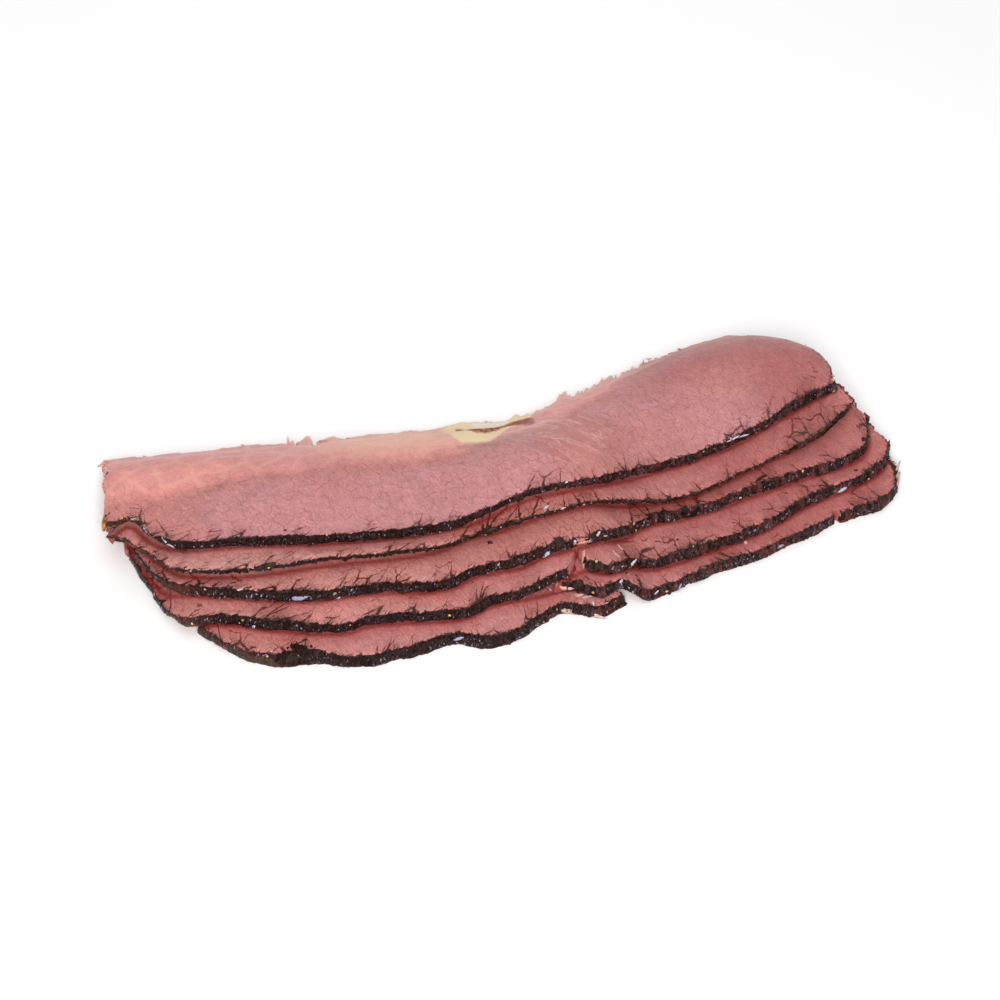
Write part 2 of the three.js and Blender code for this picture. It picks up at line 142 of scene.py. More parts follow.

# The slices in the order they are laid, with their plan edges from the left end to the right end.
# Level 1 is the top. The marks are given by where they are along X, half their width and how deep or
# strong they are: notches and back_notches are tears, back_tabs what stands out of the torn back, knobs
# and blocks thick crust, tucks where the crust leans in, clusters and network where long cracks gather,
# bare where the crust is off, the painted light where the meat is painted paler to stand in for light
# where the slice above shades it, and pale_rim where it is paler along the torn back.
# The crust is thin up to thin_to, and wraps round the right end from wraps_from on. left_crust is how
# much of it the left end has, and rusty how red it is there.
SLICES = [
    {
        "node": "slice_5_left",
        "level": 5,
        "front": [
            (-88, -26.5), (-80.5, -36), (-68.5, -42), (-61.5, -42.5), (-50.5, -46.5), (-38.5, -46.8),
            (-25, -45), (-16.5, -48.6), (-10, -47.8), (4.5, -41.8), (15, -44.5), (20, -42.5),
        ],
        "back": [
            (-87, -16), (-79, -6), (-63, 0), (-41, -2), (-16, -4), (3, -6), (13, -8), (16, -20),
        ],
        "clusters": [(-66, 9, 3.5), (-15, 6, 1.5)],
        "tucks": [(-84, 14, 1.2)],
        "lean": 1.3,
        "thin_to": -67,
        "blocks": [(-64, 7, 3.0)],
    },
    {
        "node": "slice_5_right",
        "level": 5,
        "front": [
            (4, -37), (9, -38), (15, -41.5), (20.5, -40), (27, -43), (33.5, -41.5), (47.5, -38), (62, -35),
            (76.5, -30.5), (84, -28), (90, -26.8), (97, -25.6), (102.5, -22), (105.3, -14.5),
        ],
        "back": [
            (7, -22), (5, -8), (19, -4), (39, 1), (57, 10.5), (71, 16.5), (83, 17), (92, 12), (100, 4),
            (104, -6),
        ],
        "notches": [(84.5, 1.3, 2.6)],
        "clusters": [(27, 5, 1.5), (46, 10, 1.5), (65, 8, 1), (93, 8, 2)],
        "knobs": [(9.8, 1.7, 0.8)],
        "bare": [(4, 4, 1)],
        "rusty": 0,
        "lean": 0.7,
        "wraps_from": 97,
    },
    {
        "node": "slice_4",
        "level": 4,
        "pale_and_painted_light": [(-85, 20, 0.5), (-50, 35, 0.3)],
        "front": [
            (-101.5, 4.5), (-98.5, -8), (-95.5, -19), (-91, -25.8), (-81.5, -27.5), (-70, -32.5),
            (-52, -38), (-45.5, -37), (-21, -40.5), (-14, -38), (0, -37.5), (6.5, -36.5), (13, -34.5),
            (19, -37.5), (25.5, -34.5), (31.5, -35.5), (42, -34), (63.5, -29), (79, -22.5), (94, -18.5),
            (102, -14), (106, -7.5),
        ],
        "back": [
            (-100, 16.5), (-67, 13.5), (-28, 9), (-7, 6.5), (9, 5.5), (21, 9.5), (37, 14), (53, 20),
            (67, 24.5), (78, 25.5), (87, 21.5), (93, 16.5), (99, 9.5), (103, 1.5),
        ],
        "notches": [(10.2, 2.9, 6)],
        "clusters": [(-66, 11, 3.5), (-18, 5, 1.5), (40, 14, 3), (78, 10, 2), (98, 5, 2)],
        "knobs": [(14.8, 1.9, 0.8), (41, 3, 0.5)],
        "tucks": [(-97, 11, 1.1)],
        "network": [(30, 14, 6)],
        "wraps_from": 97,
        "thin_to": -86,
    },
    {
        "node": "slice_3",
        "level": 3,
        "pale_and_painted_light": [(-84, 34, 1.2), (-42, 30, 0.6)],
        "front": [
            (-100.5, 1), (-97.5, -7), (-93.5, -14.5), (-89, -18), (-77, -22.5), (-59.5, -28), (-41, -29.5),
            (-28.5, -32.5), (-22.5, -32.5), (-15.5, -30), (4.5, -30), (20.5, -28.5), (28, -25),
            (33.5, -23), (45, -22.5), (70, -18), (96, -12), (99, -8.5), (102, 1),
        ],
        "back": [
            (-99, 24), (-67, 20.5), (-28, 16.5), (-7, 13.5), (9, 12.5), (21, 17), (37, 21.5), (53, 27.5),
            (67, 31.5), (78, 33), (87, 29), (93.5, 22.5), (97, 15.5), (100, 8.5),
        ],
        "clusters": [(-62, 10, 3), (16, 10, 3), (40, 12, 1.2), (66, 12, 1.2), (95, 6, 1.5)],
        "knobs": [(6.3, 2.4, 0.9)],
        "tucks": [(-97, 10, 1.1), (13, 5, 0.7)],
        "network": [(32, 12, 6), (0, 8, 4)],
        "bare": [(13, 5, 0.6)],
        "wraps_from": 94,
        "thin_to": -88,
    },
    {
        "node": "slice_2",
        "level": 2,
        "pale_and_painted_light": [(-84, 40, 1.2), (-35, 30, 0.4), (-5, 20, 0.3)],
        "lifted": True,
        "network": [(-16, 8, 4), (-2, 14, 6), (14, 12, 5), (-70, 14, 4), (82, 14, 5)],
        "thin_to": -90,
        "left_crust": 0,
        "clusters": [(-60, 5, 0.8), (-8, 12, 3), (30, 8, 1), (86, 12, 4)],
        "wraps_from": 94,
        "front": [
            (-106.2, 7), (-101.5, 1.2), (-96, -7.4), (-91.5, -15.5), (-73.5, -21), (-48.5, -23),
            (-33, -24.5), (-23.5, -24.3), (-13.5, -21.6), (5.5, -22), (26, -20.5), (45.5, -21),
            (56.5, -18), (79, -10.5), (87, -6.5), (99, 3.5),
        ],
        "back": [
            (-101, 31.5), (-67, 28), (-28, 23.5), (-7, 20.5), (9, 20), (21, 24.5), (37, 29), (53, 34.5),
            (68, 39), (80, 39.5), (88, 35), (93, 28), (96, 19.5), (97, 11.5),
        ],
    },
    {
        "node": "slice_1",
        "level": 1,
        "front": [
            (-105.5, 10), (-107, 8), (-105, 5.5), (-100, 6), (-95.5, -2.5), (-90, -7.5), (-74.5, -11),
            (-47.5, -17.5), (-22, -18.7), (-12, -17.7), (1, -16.5), (20.5, -15.6), (28, -13),
            (38.5, -10.5), (59.5, -7.5), (70.5, -3.5), (87, 5), (95, 8),
        ],
        "back": [
            (-102, 40.6), (-67, 37.3), (-27.5, 32.6), (-7, 31), (9, 29.5), (21.5, 33), (36.5, 37.5),
            (52.5, 43), (68.5, 47.2), (80, 47.5), (88, 41.5), (93.3, 33.5), (95.8, 25), (96.3, 16.5),
            (95.3, 11),
        ],
        "back_notches": [(-50, 0.9, 6), (-44.3, 1.9, 9)],
        "back_tabs": [
            (-47.6, 2.2, 2.0), (-51.6, 1.2, 1.2), (-40, 3, 0.8), (-2, 8, 0.8), (10, 2, 1.8),
            (19.6, 0.7, 1.1), (24.5, 3.4, 3.0), (23.4, 0.6, 1.0), (25.4, 0.6, 0.9), (29.5, 1.4, 1.2),
            (32, 1, 0.8), (38.5, 4.5, 2.4), (36.6, 0.8, 0.8), (44.5, 1.1, 1.0), (47, 0.8, 0.7),
            (51.2, 2.4, 2.0),
        ],
        "pale_rim": [(34, 28, 1.5)],
        "rusty": 0.3,
        "lean": 0.1,
        "left_crust": 0.45,
        "thin_to": -96,
        "wraps_from": 92,
        "tucks": [(-102, 15, 3.2), (4, 26, 1.1)],
        "clusters": [(-72, 6, 1.2), (17, 3, 1.4), (84, 10, 2.5)],
    },
]
DEFAULTS = {
    "lifted": False, "lean": 0.5, "thin_to": -999, "wraps_from": 999, "left_crust": 1, "rusty": 1,
    "notches": [], "back_notches": [], "back_tabs": [], "knobs": [], "blocks": [], "tucks": [],
    "clusters": [], "network": [], "bare": [], "pale_and_painted_light": [], "pale_rim": [],
}

# Colours as the eye sees them, in sRGB.
ROSE = 0xC27E78
# Cool lilac: partly the meat's own colour, partly a painted sheen of the wet film.
LILAC_SHEEN = 0xC38689
SALMON = 0xD88884
# Painted light: paler pink on meat that the slice above shades.
PAINTED_LIGHT_PINK = 0xE4A8A0
AMBER = 0xE5A892
RUDDY = 0xB06462
SEAM = 0xA44C48
# This and the next: deep red painted contact shadow and painted shade under the foot of the slice above.
CONTACT_SHADOW_RED = 0x861C16
SHADE_DEEP_RED = 0xB04A48
SMOKED = 0x3A1A12
SMOKE_STAIN = 0xB08A74
CRACK_TIP = 0x8E3A30
PALE = 0xEBC4B2
FAT = 0xEFD6AE
FAT_CLEAR = 0xEFE6DC
FAT_BROWN = 0x8E2C00
FAT_GREY = 0x986C68
BARK_DARK = 0x180504
BARK_BROWN = 0x442A1E
BARK_RIB = 0x6A484A
BARK_RED = 0x6E3026
BARK_EDGE = 0xA2502C
SEARED = 0xC8683F
# Painted glint: pale lilac standing in for highlights on wet films.
PAINTED_GLINT_LILAC = 0x9A93AC
SEED_YELLOW = 0xDCC088
SEED_BROWN = 0xB07C44
FLAP_AMBER = 0xD08A40
FLAP_BROWN = 0x5A2E18
FLAKE_WHITE = 0xE4DEE2
FLAKE_BLUE = 0xA09CB8
PEPPER_BLACK = 0x120606
PEPPER_BROWN = 0x351E16
SHRED_PINK = 0xC98880
SHRED_PALE = 0xDDB0A6
SHRED_RED = 0x9C3432
# Darker red that stands in for the shade in the pit of the tear.
PIT_SHADE_RED = 0x741E1E
DRY_FAT = 0xCDB6A6
DRY_FAT_DARK = 0xA98C80

# On the top slice: the frayed stretch of its torn back, the low lump of fat by it with its brown and
# grey lines, and the folds beside it, which are only painted, as shade and highlight.
TOP = "slice_1"
FRINGE_FROM = 12
FRINGE_TO = 60
FAT_RISE = 0.8
FAT_LUMP = {"at": (-3, 21), "size": (10, 8)}
FAT_FRONT = [
    (-12, 33), (-10.7, 19.3), (-9.7, 14), (-8.8, 11.7), (-7.1, 10.7), (-4.6, 9.7), (-2.1, 8.5),
    (0.2, 10.3), (2.5, 12.9), (5.2, 16.7), (8, 17.8), (11, 18), (15, 26), (18, 33),
]
BROWN_LINE = [
    (-6.4, 26), (-4.6, 22.5), (-3, 19.6), (-1.2, 18.3), (1.1, 19.4), (3.7, 21.8), (6.3, 23.6),
    (8, 23.2), (9.8, 22.4), (11.3, 20.8),
]
GREY_LINE = [(-10.7, 10.7), (-8.7, 9.7), (-6.2, 8.7), (-3.8, 7.5), (-1.3, 6.1)]
FOLDS = {"at": (18, 5), "size": (13, 17)}
# The front of the warm zone on the top slice, and where amber starts behind it.
WARM_FRONT = [
    (-104, 13), (-84, 13), (-65, 11), (-45, 9), (-25, 7), (-10, 6), (10, 9), (24, 16), (40, 26), (60, 42),
]
AMBER_BEHIND = 6

# Loose bits that the photo shows, slice by slice: place in plan, mm down the crust or None for the top
# face, length and width, and then, where they aren't 0, the turn along the edge and the tip off it in
# degrees, and a sideways curl.
FAT_FLAKES = [
    ("slice_3", [
        (11, -30, 0.9, 2.4, 1.0, 35, 20, 0.1), (15.3, -30, 1.5, 1.3, 0.8, 80, 10),
        (17.4, -29.6, 0.5, 2.5, 1.0, 60, 25, 0.1), (20, -29, 1.3, 2.8, 0.7, 5, 10),
        (3, -30.3, 2.5, 2.6, 1.4, 40, 10, 0.1), (31.4, -24.1, 1.6, 2.0, 1.0, 70, 15),
        (-51.8, -29.2, 2.9, 1.9, 0.7, 10, 10), (-76.4, -22, 0.2, 2.2, 0.6, 15, 10),
    ]),
    ("slice_4", [
        (24.8, -34.7, 1.9, 3.4, 1.2, 35, 15, 0.1), (-74.7, -31, 2.6, 1.4, 0.8, 60, 10),
        (87.5, -20.5, 2.4, 3.4, 1.6, 5, 10, 0.1), (-95.6, -17, 1.0, 1.6, 0.9, 50, 20),
    ]),
    ("slice_5_right", [(20.5, -40.6, 0.8, 2.2, 0.9, 70, 20), (29.6, -43, 1.2, 2.6, 0.8, 60, 30)]),
    ("slice_5_left", [
        (12.4, -41, None, 3.6, 0.6, -5, 6, 0.1), (2.8, -35.6, None, 1.6, 0.6, -80, 8),
        (12.6, -43.6, None, 1.7, 0.5, 85, 10, 0.2), (15.8, -44.2, None, 1.3, 0.5, 0, 10),
        (-71.6, -39.8, None, 1.2, 0.6, 30, 8),
    ]),
    ("slice_2", [
        (5.9, -20.4, None, 1.8, 0.9, 20, 8), (10, -22, 0.1, 1.6, 0.6, 10, 10),
        (-72.4, -20.9, 0.2, 1.6, 0.9, 10, 10),
    ]),
    ("slice_1", [
        (94.2, 8, 0.3, 2.2, 0.6, 60, 20), (60.5, -7.2, 0.2, 4.4, 0.7, 8, 5, 0.3),
        (64, -6.4, 0.9, 3.8, 0.5, -4, 5, -0.3), (-96.7, -0.6, 0.2, 6.4, 0.9, 4, 3, 0.35),
        (-91.8, -6.6, 0.9, 4.2, 0.8, -20, 5, 0.8), (12, -16, 0.2, 1.8, 0.6, 10, 8),
        (-98.5, 6, 0.3, 2.4, 0.8, 30, 8, 0.2),
    ]),
]
BLUE_FLAKES = [
    ("slice_3", [
        (-62, -28.3, 1.6, 5.2, 1.9, 8, 4, 0.2), (-71, -24.3, 1.9, 1.2, 0.5, 70, 8),
        (-73, -23.5, 1.6, 1.3, 0.5, 80, 8),
    ]),
    ("slice_4", [(60, -29.8, 1.6, 2.0, 0.6, 60, 8)]),
    ("slice_5_right", [(36, -40.8, 1.6, 2.4, 0.7, 60, 10), (66, -33.8, 1.6, 3.4, 1.0, 4, 6, 0.1)]),
    ("slice_5_left", [(-24, -45.4, 1.4, 3.2, 1.0, 12, 6, 0.1), (-2, -44.5, 1.6, 1.6, 0.6, 60, 8)]),
]
SEEDS = [
    ("slice_2", [(-68.2, -21.4, 0.5, 0.9, 0.7)]),
    ("slice_3", [(7.3, -29, None, 1.0, 0.7, 20)]),
    ("slice_4", [(15.2, -36.1, 0.1, 1.0, 0.8, 60)]),
    ("slice_3", [(28.8, -25.2, 2.2, 0.9, 0.7, 80)]),
    ("slice_5_right", [(32.9, -41.8, 1.8, 0.9, 0.7)]),
    ("slice_4", [(42.1, -33.6, 0.1, 1.1, 0.8, 80)]),
    ("slice_3", [(78, -16.6, 0.3, 1.0, 0.8, 40), (59, -20.4, 1.7, 0.9, 0.7)]),
    ("slice_1", [(94.4, 7.1, 2.3, 0.9, 0.7)]),
    ("slice_3", [(-52.8, -29.2, 1.6, 0.9, 0.6)]),
    ("slice_5_right", [(23.5, -37.5, None, 0.8, 0.6, 80)]),
    ("slice_4", [(-25, -40, 1.4, 0.9, 0.7)]),
]
PEPPER = [
    ("slice_5_left", [(-62.7, -38, None, 1.5, 0.9, 10)]),
    ("slice_3", [(-10, -22.1, None, 1.6, 1.3)]),
    ("slice_5_right", [(23.3, -37.2, None, 0.8, 0.7)]),
    ("slice_4", [(39.2, -30.3, None, 0.8, 0.6), (93.1, -16.2, None, 1.2, 0.9)]),
    ("slice_1", [(-61.8, -12, None, 0.9, 0.7)]),
]
BARK_LUMPS = [
    ("slice_3", [(6.3, -30.2, 1.2, 4.4, 3.6, 60, 10)]),
    ("slice_4", [(14.8, -36, 1.3, 3.8, 3.2, 20)]),
    ("slice_5_right", [(9.9, -38.4, 1.0, 3.2, 2.8, 50)]),
    ("slice_4", [(41.5, -34, 0.8, 4.0, 2.6, 30)]),
    ("slice_2", [(-68.5, -21.4, 0.3, 6.5, 1.7)]),
    ("slice_1", [
        (59, -7.4, 0.9, 4.2, 1.9, 10), (53.5, -8.5, 1.5, 3.0, 2.0), (-104.6, 5.6, 0.3, 3.4, 1.4),
        (-103.4, 26.5, 0.3, 3.0, 1.5), (-104.6, 16.5, 0.4, 2.6, 1.6), (-105, 13.4, 0.4, 2.8, 1.6, 0, 10),
    ]),
    ("slice_5_left", [(-66.5, -42.4, 0.9, 4.4, 2.8), (-60, -43, 1.0, 3.4, 2.8)]),
    ("slice_5_right", [(97, -25.4, 1.0, 5.0, 3.0, 15), (92, -26.6, 1.2, 3.6, 2.6, 10)]),
    ("slice_3", [(97.5, -9, 1.0, 3.6, 2.2, 60)]),
]
SHREDS = [
    ("slice_5_left", [
        (9.2, -39.4, None, 3.2, 1.4, -40, 14, 0.4), (10.8, -40.8, None, 2.6, 1.1, -15, 18, -0.4),
    ]),
    ("slice_5_right", [
        (6.2, -37.4, 1.4, 4.4, 1.3, -10, 10, 0.3), (4.6, -36.6, 0.6, 3.2, 1.4, 20, 8),
        (57.6, -32, None, 1.4, 1.1, 80, 10),
    ]),
    ("slice_4", [(11.5, -33.2, 0.8, 5.0, 1.6, -60, 6, 0.3)]),
    ("slice_3", [(13, -30, 1.7, 4.2, 1.0, 0, 5, 0.1)]),
    ("slice_4", [(21, -32.5, None, 5.6, 0.8, -72, 4, 0.3), (23.4, -30, None, 3.6, 0.6, -70, 4, -0.2)]),
    ("slice_1", [
        (-52.7, 35, None, 2.6, 0.5, 80, 45), (-104.5, 38, None, 3.2, 1.2, 20, 10, 0.2),
        (-105.6, 30, None, 2.0, 0.8, 60, 10), (-44.2, 32.4, None, 3.2, 2.6, 10),
        (-50, 33.6, None, 2.0, 1.5, 80),
    ]),
    ("slice_3", [(-30, -31, None, 3.0, 0.6, 20, 4, 0.2)]),
    ("slice_4", [(-95.5, -12, 0.4, 3.0, 1.3, 40, 20)]),
]
SEARED_FLAPS = [
    ("slice_1", [(-106.8, 8, 0.3, 5.2, 3.6, 15, 10), (-103.2, 5.6, 0.6, 2.6, 1.4)]),
]
# Deep red shreds in the pit of the tear in slice 4: meat, with darker mottling that is painted shade of the
# pit.
RED_SHREDS = [
    ("slice_5_right", [(9.4, -33.6, None, 3.4, 2.2, 65, 5, 0.2), (8.2, -35.8, None, 2.4, 1.2, 20, 4)]),
]
DRY_FLAKES = [
    ("slice_5_left", [(7, -42.8, 2.2, 6.2, 1.7, -12, 6, 0.2), (13, -44.6, 2.6, 4.2, 1.7, -20, 10, 0.2)]),
    ("slice_5_right", [
        (104.8, -15, 0.8, 4.4, 1.8, 30, 25, 0.2), (104.4, -17.5, 1.0, 4.2, 1.7, -20, 25, 0.2),
        (103.4, -20, 1.2, 3.8, 1.6, 30, 20, 0.2), (104.8, -12, 0.8, 2.2, 0.9, 70, 20),
    ]),
    ("slice_1", [(95, 9.5, 0.4, 1.5, 1.2, 70, 20)]),
]

# Settings of nodes, by what they do.
TIMES = {"operation": "MULTIPLY"}
PRODUCT_PLUS = {"operation": "MULTIPLY_ADD"}
NET = {"feature": "DISTANCE_TO_EDGE", "voronoi_dimensions": "2D"}

# Noise in the meat: size of its largest features in mm, detail and roughness. In order: clouds, breaks
# in the seams, grain, painted glints, smudges of the marks on the fat, dabs in them, and blots in the
# cracks.
MEAT_NOISE = (
    (6, 4, 0.6), (4, 4, 0.7), (0.45, 4, 0.75), (0.3, 2, 0.5), (1.1, 4, 0.7), (0.8, 4, 0.75), (1.3, 3, 0.6),
)
# Noise drawn out on a slant: its turn, its length and width in mm, detail and roughness. In order:
# fibres, flecks, folds painted as shade and highlight, and wisps.
SLANTED_NOISE = (
    (-1.2, 2.4, 0.45, 3, 0.6), (-1.1, 1.5, 0.3, 3, 0.5), (-0.95, 14, 2.6, 1, 0.5), (0.1, 9, 0.9, 3, 0.6),
)
# How far the meat's patterns bend, and the size of its bundles of fibre, strands and veins, in mm.
BEND = 2.2
BUNDLE = 3.2
STRAND = 1.4
VEIN = 9
# Sets of cracks: cells' size across and along in mm, width as a share of that, how fast they narrow
# towards their tips, and how much wider they are where they are deep.
CRACK_SETS = ((4.4, 7, 0.06, 0.75, 1.4), (2.2, 3.4, 0.085, 1.3, 0.6))
# Noise in the crust: grit, patches and where it is wet. Upright noise there, with its width and height
# in mm: ribs, and films of jelly that are glossier and painted pale as glints.
CRUST_NOISE = ((0.6, 5, 0.8), (2.5, 3, 0.5), (4.5, 2, 0.5))
UPRIGHT_NOISE = ((1.0, 5, 2, 0.5), (0.35, 0.8, 3, 0.7))

# Floor, lights and camera. A light has its place and size in metres, power in watts and colour. The
# camera has its lens and sensor in mm, and the rest in metres.
FLOOR_SIZE = 12
WORLD_LIGHT = 0.38
SOFTBOXES = (
    ("camera_side_softbox", (-0.22, -0.85, 0.68), 0.5, 10.6, 0xFFFDFC),
    ("top_softbox", (-0.1, 0.0, 1.0), 0.9, 2.5, 0xFFFCFA),
    ("back_softbox", (0.15, 0.8, 0.6), 0.6, 2.1, 0xF8F8FF),
)
LENS = 105
SENSOR = 36
NEAREST = 0.01
AZIMUTH = math.radians(-14)
ELEVATION = math.radians(45)
TARGET = (-0.001, 0.002, 0)
DISTANCE = 0.7875


def smooth(t):
    """Smoothstep: 3h squared less 2h cubed, with h as t kept between 0 and 1."""
    h = np.clip(t, 0, 1)
    return h * h * (3 - 2 * h)


def noise(x, y, size, seed):
    """Random field between -1 and 1: random numbers on a lattice of that size, blended smoothly."""
    table = np.random.default_rng(seed).uniform(-1, 1, (LATTICE, LATTICE))
    column = np.floor(x / size).astype(int)
    row = np.floor(y / size).astype(int)
    across = smooth(x / size - column)
    up = smooth(y / size - row)
    low, high = [
        table[column % LATTICE, r] * (1 - across) + table[(column + 1) % LATTICE, r] * across
        for r in (row % LATTICE, (row + 1) % LATTICE)
    ]
    return low * (1 - up) + high * up


def waves(piece, name, x, y=0):
    """Sum of the named random waves over x, or over x and y, with the slice's own seeds."""
    return sum(high * noise(x, 0 * x + y, size, piece["seed"] + step) for high, size, step in WAVES[name])


def run_along(points):
    """Length along a line of points, from 0 at the first one."""
    return np.concatenate([[0], np.cumsum(np.linalg.norm(np.diff(points, axis=0), axis=1))])


def spline(points, count):
    """Centripetal Catmull-Rom curve through the points, at count places an even length apart."""
    given = np.array(points, float)
    padded = np.vstack([2 * given[0] - given[1], given, 2 * given[-1] - given[-2]])
    parts = []
    for p0, p1, p2, p3 in zip(padded, padded[1:], padded[2:], padded[3:]):
        spans = (p1 - p0, p2 - p1, p3 - p2)
        knots = np.cumsum([0] + [math.sqrt(np.linalg.norm(span)) for span in spans])
        t = np.linspace(knots[1], knots[2], SPLINE_STEPS, endpoint=False)[:, None]

        def blend(a, b, first, last):
            return ((last - t) * a + (t - first) * b) / (last - first)

        a1 = blend(p0, p1, knots[0], knots[1])
        a2 = blend(p1, p2, knots[1], knots[2])
        a3 = blend(p2, p3, knots[2], knots[3])
        b1 = blend(a1, a2, knots[0], knots[2])
        b2 = blend(a2, a3, knots[1], knots[3])
        parts.append(blend(b1, b2, knots[1], knots[2]))
    fine = np.vstack(parts + [given[-1:]])
    run = run_along(fine)
    places = np.linspace(0, run[-1], count)
    return np.stack([np.interp(places, run, fine[:, 0]), np.interp(places, run, fine[:, 1])], 1)


def distance_to(line, x, y):
    """Shortest distance from each point to a polyline."""
    gap = np.full(x.shape, np.inf)
    for (ax, ay), (bx, by) in zip(line[:-1], line[1:]):
        ex = bx - ax
        ey = by - ay
        size = math.hypot(ex, ey) or 1e-9
        t = np.clip(((x - ax) * ex + (y - ay) * ey) / size**2, 0, 1)
        gap = np.minimum(gap, np.hypot(x - ax - t * ex, y - ay - t * ey))
    return gap


def inside_distance(outline, x, y):
    """Distance to a closed outline, more than 0 inside it, where a ray along X crosses it oddly often."""
    closed = np.vstack([outline, outline[:1]])
    inside = np.zeros(x.shape, bool)
    for (ax, ay), (bx, by) in zip(closed[:-1], closed[1:]):
        if ay != by:
            inside ^= ((ay > y) != (by > y)) & (x < (bx - ax) * (y - ay) / (by - ay) + ax)
    gap = distance_to(closed, x, y)
    return np.where(inside, gap, -gap)


def outline_of(piece):
    """The closed plan outline: the front edge, then the back edge the other way."""
    front = spline(piece["front"], OUTLINE_STEPS + 1)
    back = spline(piece["back"], OUTLINE_STEPS + 1)
    return np.vstack([front, back[::-1]])


def lift(x, y, gap):
    """Rise of a lifted slice's front: a hump along X, times smoothstep of 1 less distance over reach."""
    along = smooth((x - LIFT_FROM) / LIFT_FADE) * smooth((LIFT_TO - x) / LIFT_FADE)
    return LIFT_HEIGHT * along * smooth(1 - np.abs(gap) / LIFT_REACH) * (y <= 0)


def resting(piece, below, x, y):
    """Height under a slice: a layer for each one below, times smoothstep of 1 plus distance over reach."""
    height = np.zeros(x.shape)
    for lower in below:
        gap = inside_distance(lower["outline"], x, y)
        between = max(lower["level"] - piece["level"] - 1, 0)
        height += LAYER * smooth(1 + gap / (DRAPE_REACH * (1 + DRAPE_SOFTENING * between)))
        if lower["lifted"]:
            height += lift(x, y, gap)
    if piece["lifted"]:
        height += lift(x, y, inside_distance(piece["outline"], x, y))
    return height


def swell(x, y, height):
    """Height scaled by 1 plus a small wave: sine along X times cosine along Y."""
    wave = np.sin(x / SWELL_LENGTH_X * 2 * np.pi + SWELL_PHASE) * np.cos(y / SWELL_LENGTH_Y * np.pi)
    return height * (1 + SWELL * wave)


def notch_depth(x, notches):
    """Depth of the tears: a triangle of the given half width and depth at each."""
    depth = np.zeros(x.shape)
    for at, half, deep in notches:
        depth = np.maximum(depth, deep * (1 - np.abs(x - at) / half))
    return depth


def row_shares(width):
    """Shares of the way from back to front: close rows by each edge, wide ones between them."""
    back = np.array(TORN_ROWS)
    front = width - np.array(RIM_ROWS)[::-1]
    middle = np.linspace(back[-1], front[0], MIDDLE_ROWS + 2)[1:-1]
    return np.concatenate([back, middle, front]) / width


def plan_grid(piece):
    """Plan places, column by column from back to front: even shares of both edges, wandering by noise."""
    length = np.linalg.norm(np.diff(spline(piece["front"], MEASURING_STEPS), axis=0), axis=1).sum()
    columns = int(length / STATION_PITCH)
    front = spline(piece["front"], columns + 1)
    back = spline(piece["back"], columns + 1)
    width = np.linalg.norm(front - back, axis=1)
    shares = row_shares(width.max())
    run = np.linspace(0, length, columns + 1)
    ends = smooth(run / 2) * smooth((length - run) / 2)
    wander = waves(piece, "front_edge", run)
    ragged = waves(piece, "torn_edge", run) + np.maximum(waves(piece, "torn_tags", run), 0)
    front_cut = notch_depth(front[:, 0], piece["notches"]) + wander * ends
    back_cut = notch_depth(back[:, 0], piece["back_notches"]) + ragged * ends
    back_cut -= humps(back[:, 0], piece["back_tabs"])
    if piece["node"] == TOP:
        within = smooth((back[:, 0] - FRINGE_FROM) / 3) * smooth((FRINGE_TO - back[:, 0]) / 3)
        back_cut = back_cut + within * (np.abs(waves(piece, "fringe", run)) - 0.8)
    from_back = back_cut[:, None] + (width - front_cut - back_cut)[:, None] * shares
    step = (front - back) / width[:, None]
    plan = back[:, None, :] + step[:, None, :] * from_back[:, :, None]
    for column in range(END_COLUMNS):
        for end, towards in ((column, -1), (columns - column, 1)):
            shift = waves(piece, "ends", plan[end, :, 1]) * smooth(1 - column / END_COLUMNS)
            plan[end, 1:-1, 0] += towards * shift[1:-1]
    return plan


def border_cells(columns, rows):
    """The grid's border, anticlockwise from above: front edge, right end, back edge, left end."""
    front = [(c, rows) for c in range(columns)]
    right = [(columns, r) for r in range(rows, 0, -1)]
    back = [(c, 0) for c in range(columns, 0, -1)]
    left = [(0, r) for r in range(rows)]
    return np.array(front + right + back + left)


def humps(x, marks):
    """Sum of smooth humps along X, each given by its middle, half its width and its height."""
    total = np.zeros(x.shape)
    for at, half, high in marks:
        total = total + high * smooth(1 - np.abs(x - at) / half)
    return total


def edge_of(piece, plan):
    """The slice's border: cells, places, directions out, length along it, crust and lean.

    The lean goes from the torn back's to the crust's by smoothstep, less what is tucked under.
    """
    columns = plan.shape[0] - 1
    rows = plan.shape[1] - 1
    cells = border_cells(columns, rows)
    places = plan[cells[:, 0], cells[:, 1]]
    x = places[:, 0]
    along = np.roll(places, -3, 0) - np.roll(places, 3, 0)
    along /= np.maximum(np.linalg.norm(along, axis=1), 1e-9)[:, None]
    run = run_along(places)
    row_share = cells[:, 1] / rows
    crusted = smooth((row_share - CRUST_FROM) / (1 - CRUST_FROM))
    lean = piece["lean"] + waves(piece, "lean", run)
    if piece["lifted"]:
        lean = LIFTED_LEAN * np.ones(x.shape)
    lean = TORN_LEAN + (lean - TORN_LEAN) * crusted - humps(x, piece["tucks"]) * crusted
    crusted = np.where(cells[:, 0] == 0, crusted * piece["left_crust"], crusted)
    crusted = np.maximum(crusted, smooth((x - piece["wraps_from"]) / 9))
    tear = notch_depth(x, piece["notches"]) * (row_share > 0.5)
    crusted = crusted * (1 - smooth(tear / TEAR_FADE)) * (1 - np.minimum(humps(x, piece["bare"]), 1))
    return {
        "cells": cells,
        "places": places,
        "out": np.stack([along[:, 1], -along[:, 0]], 1),
        "run": run,
        "crusted": crusted,
        "lean": lean,
    }


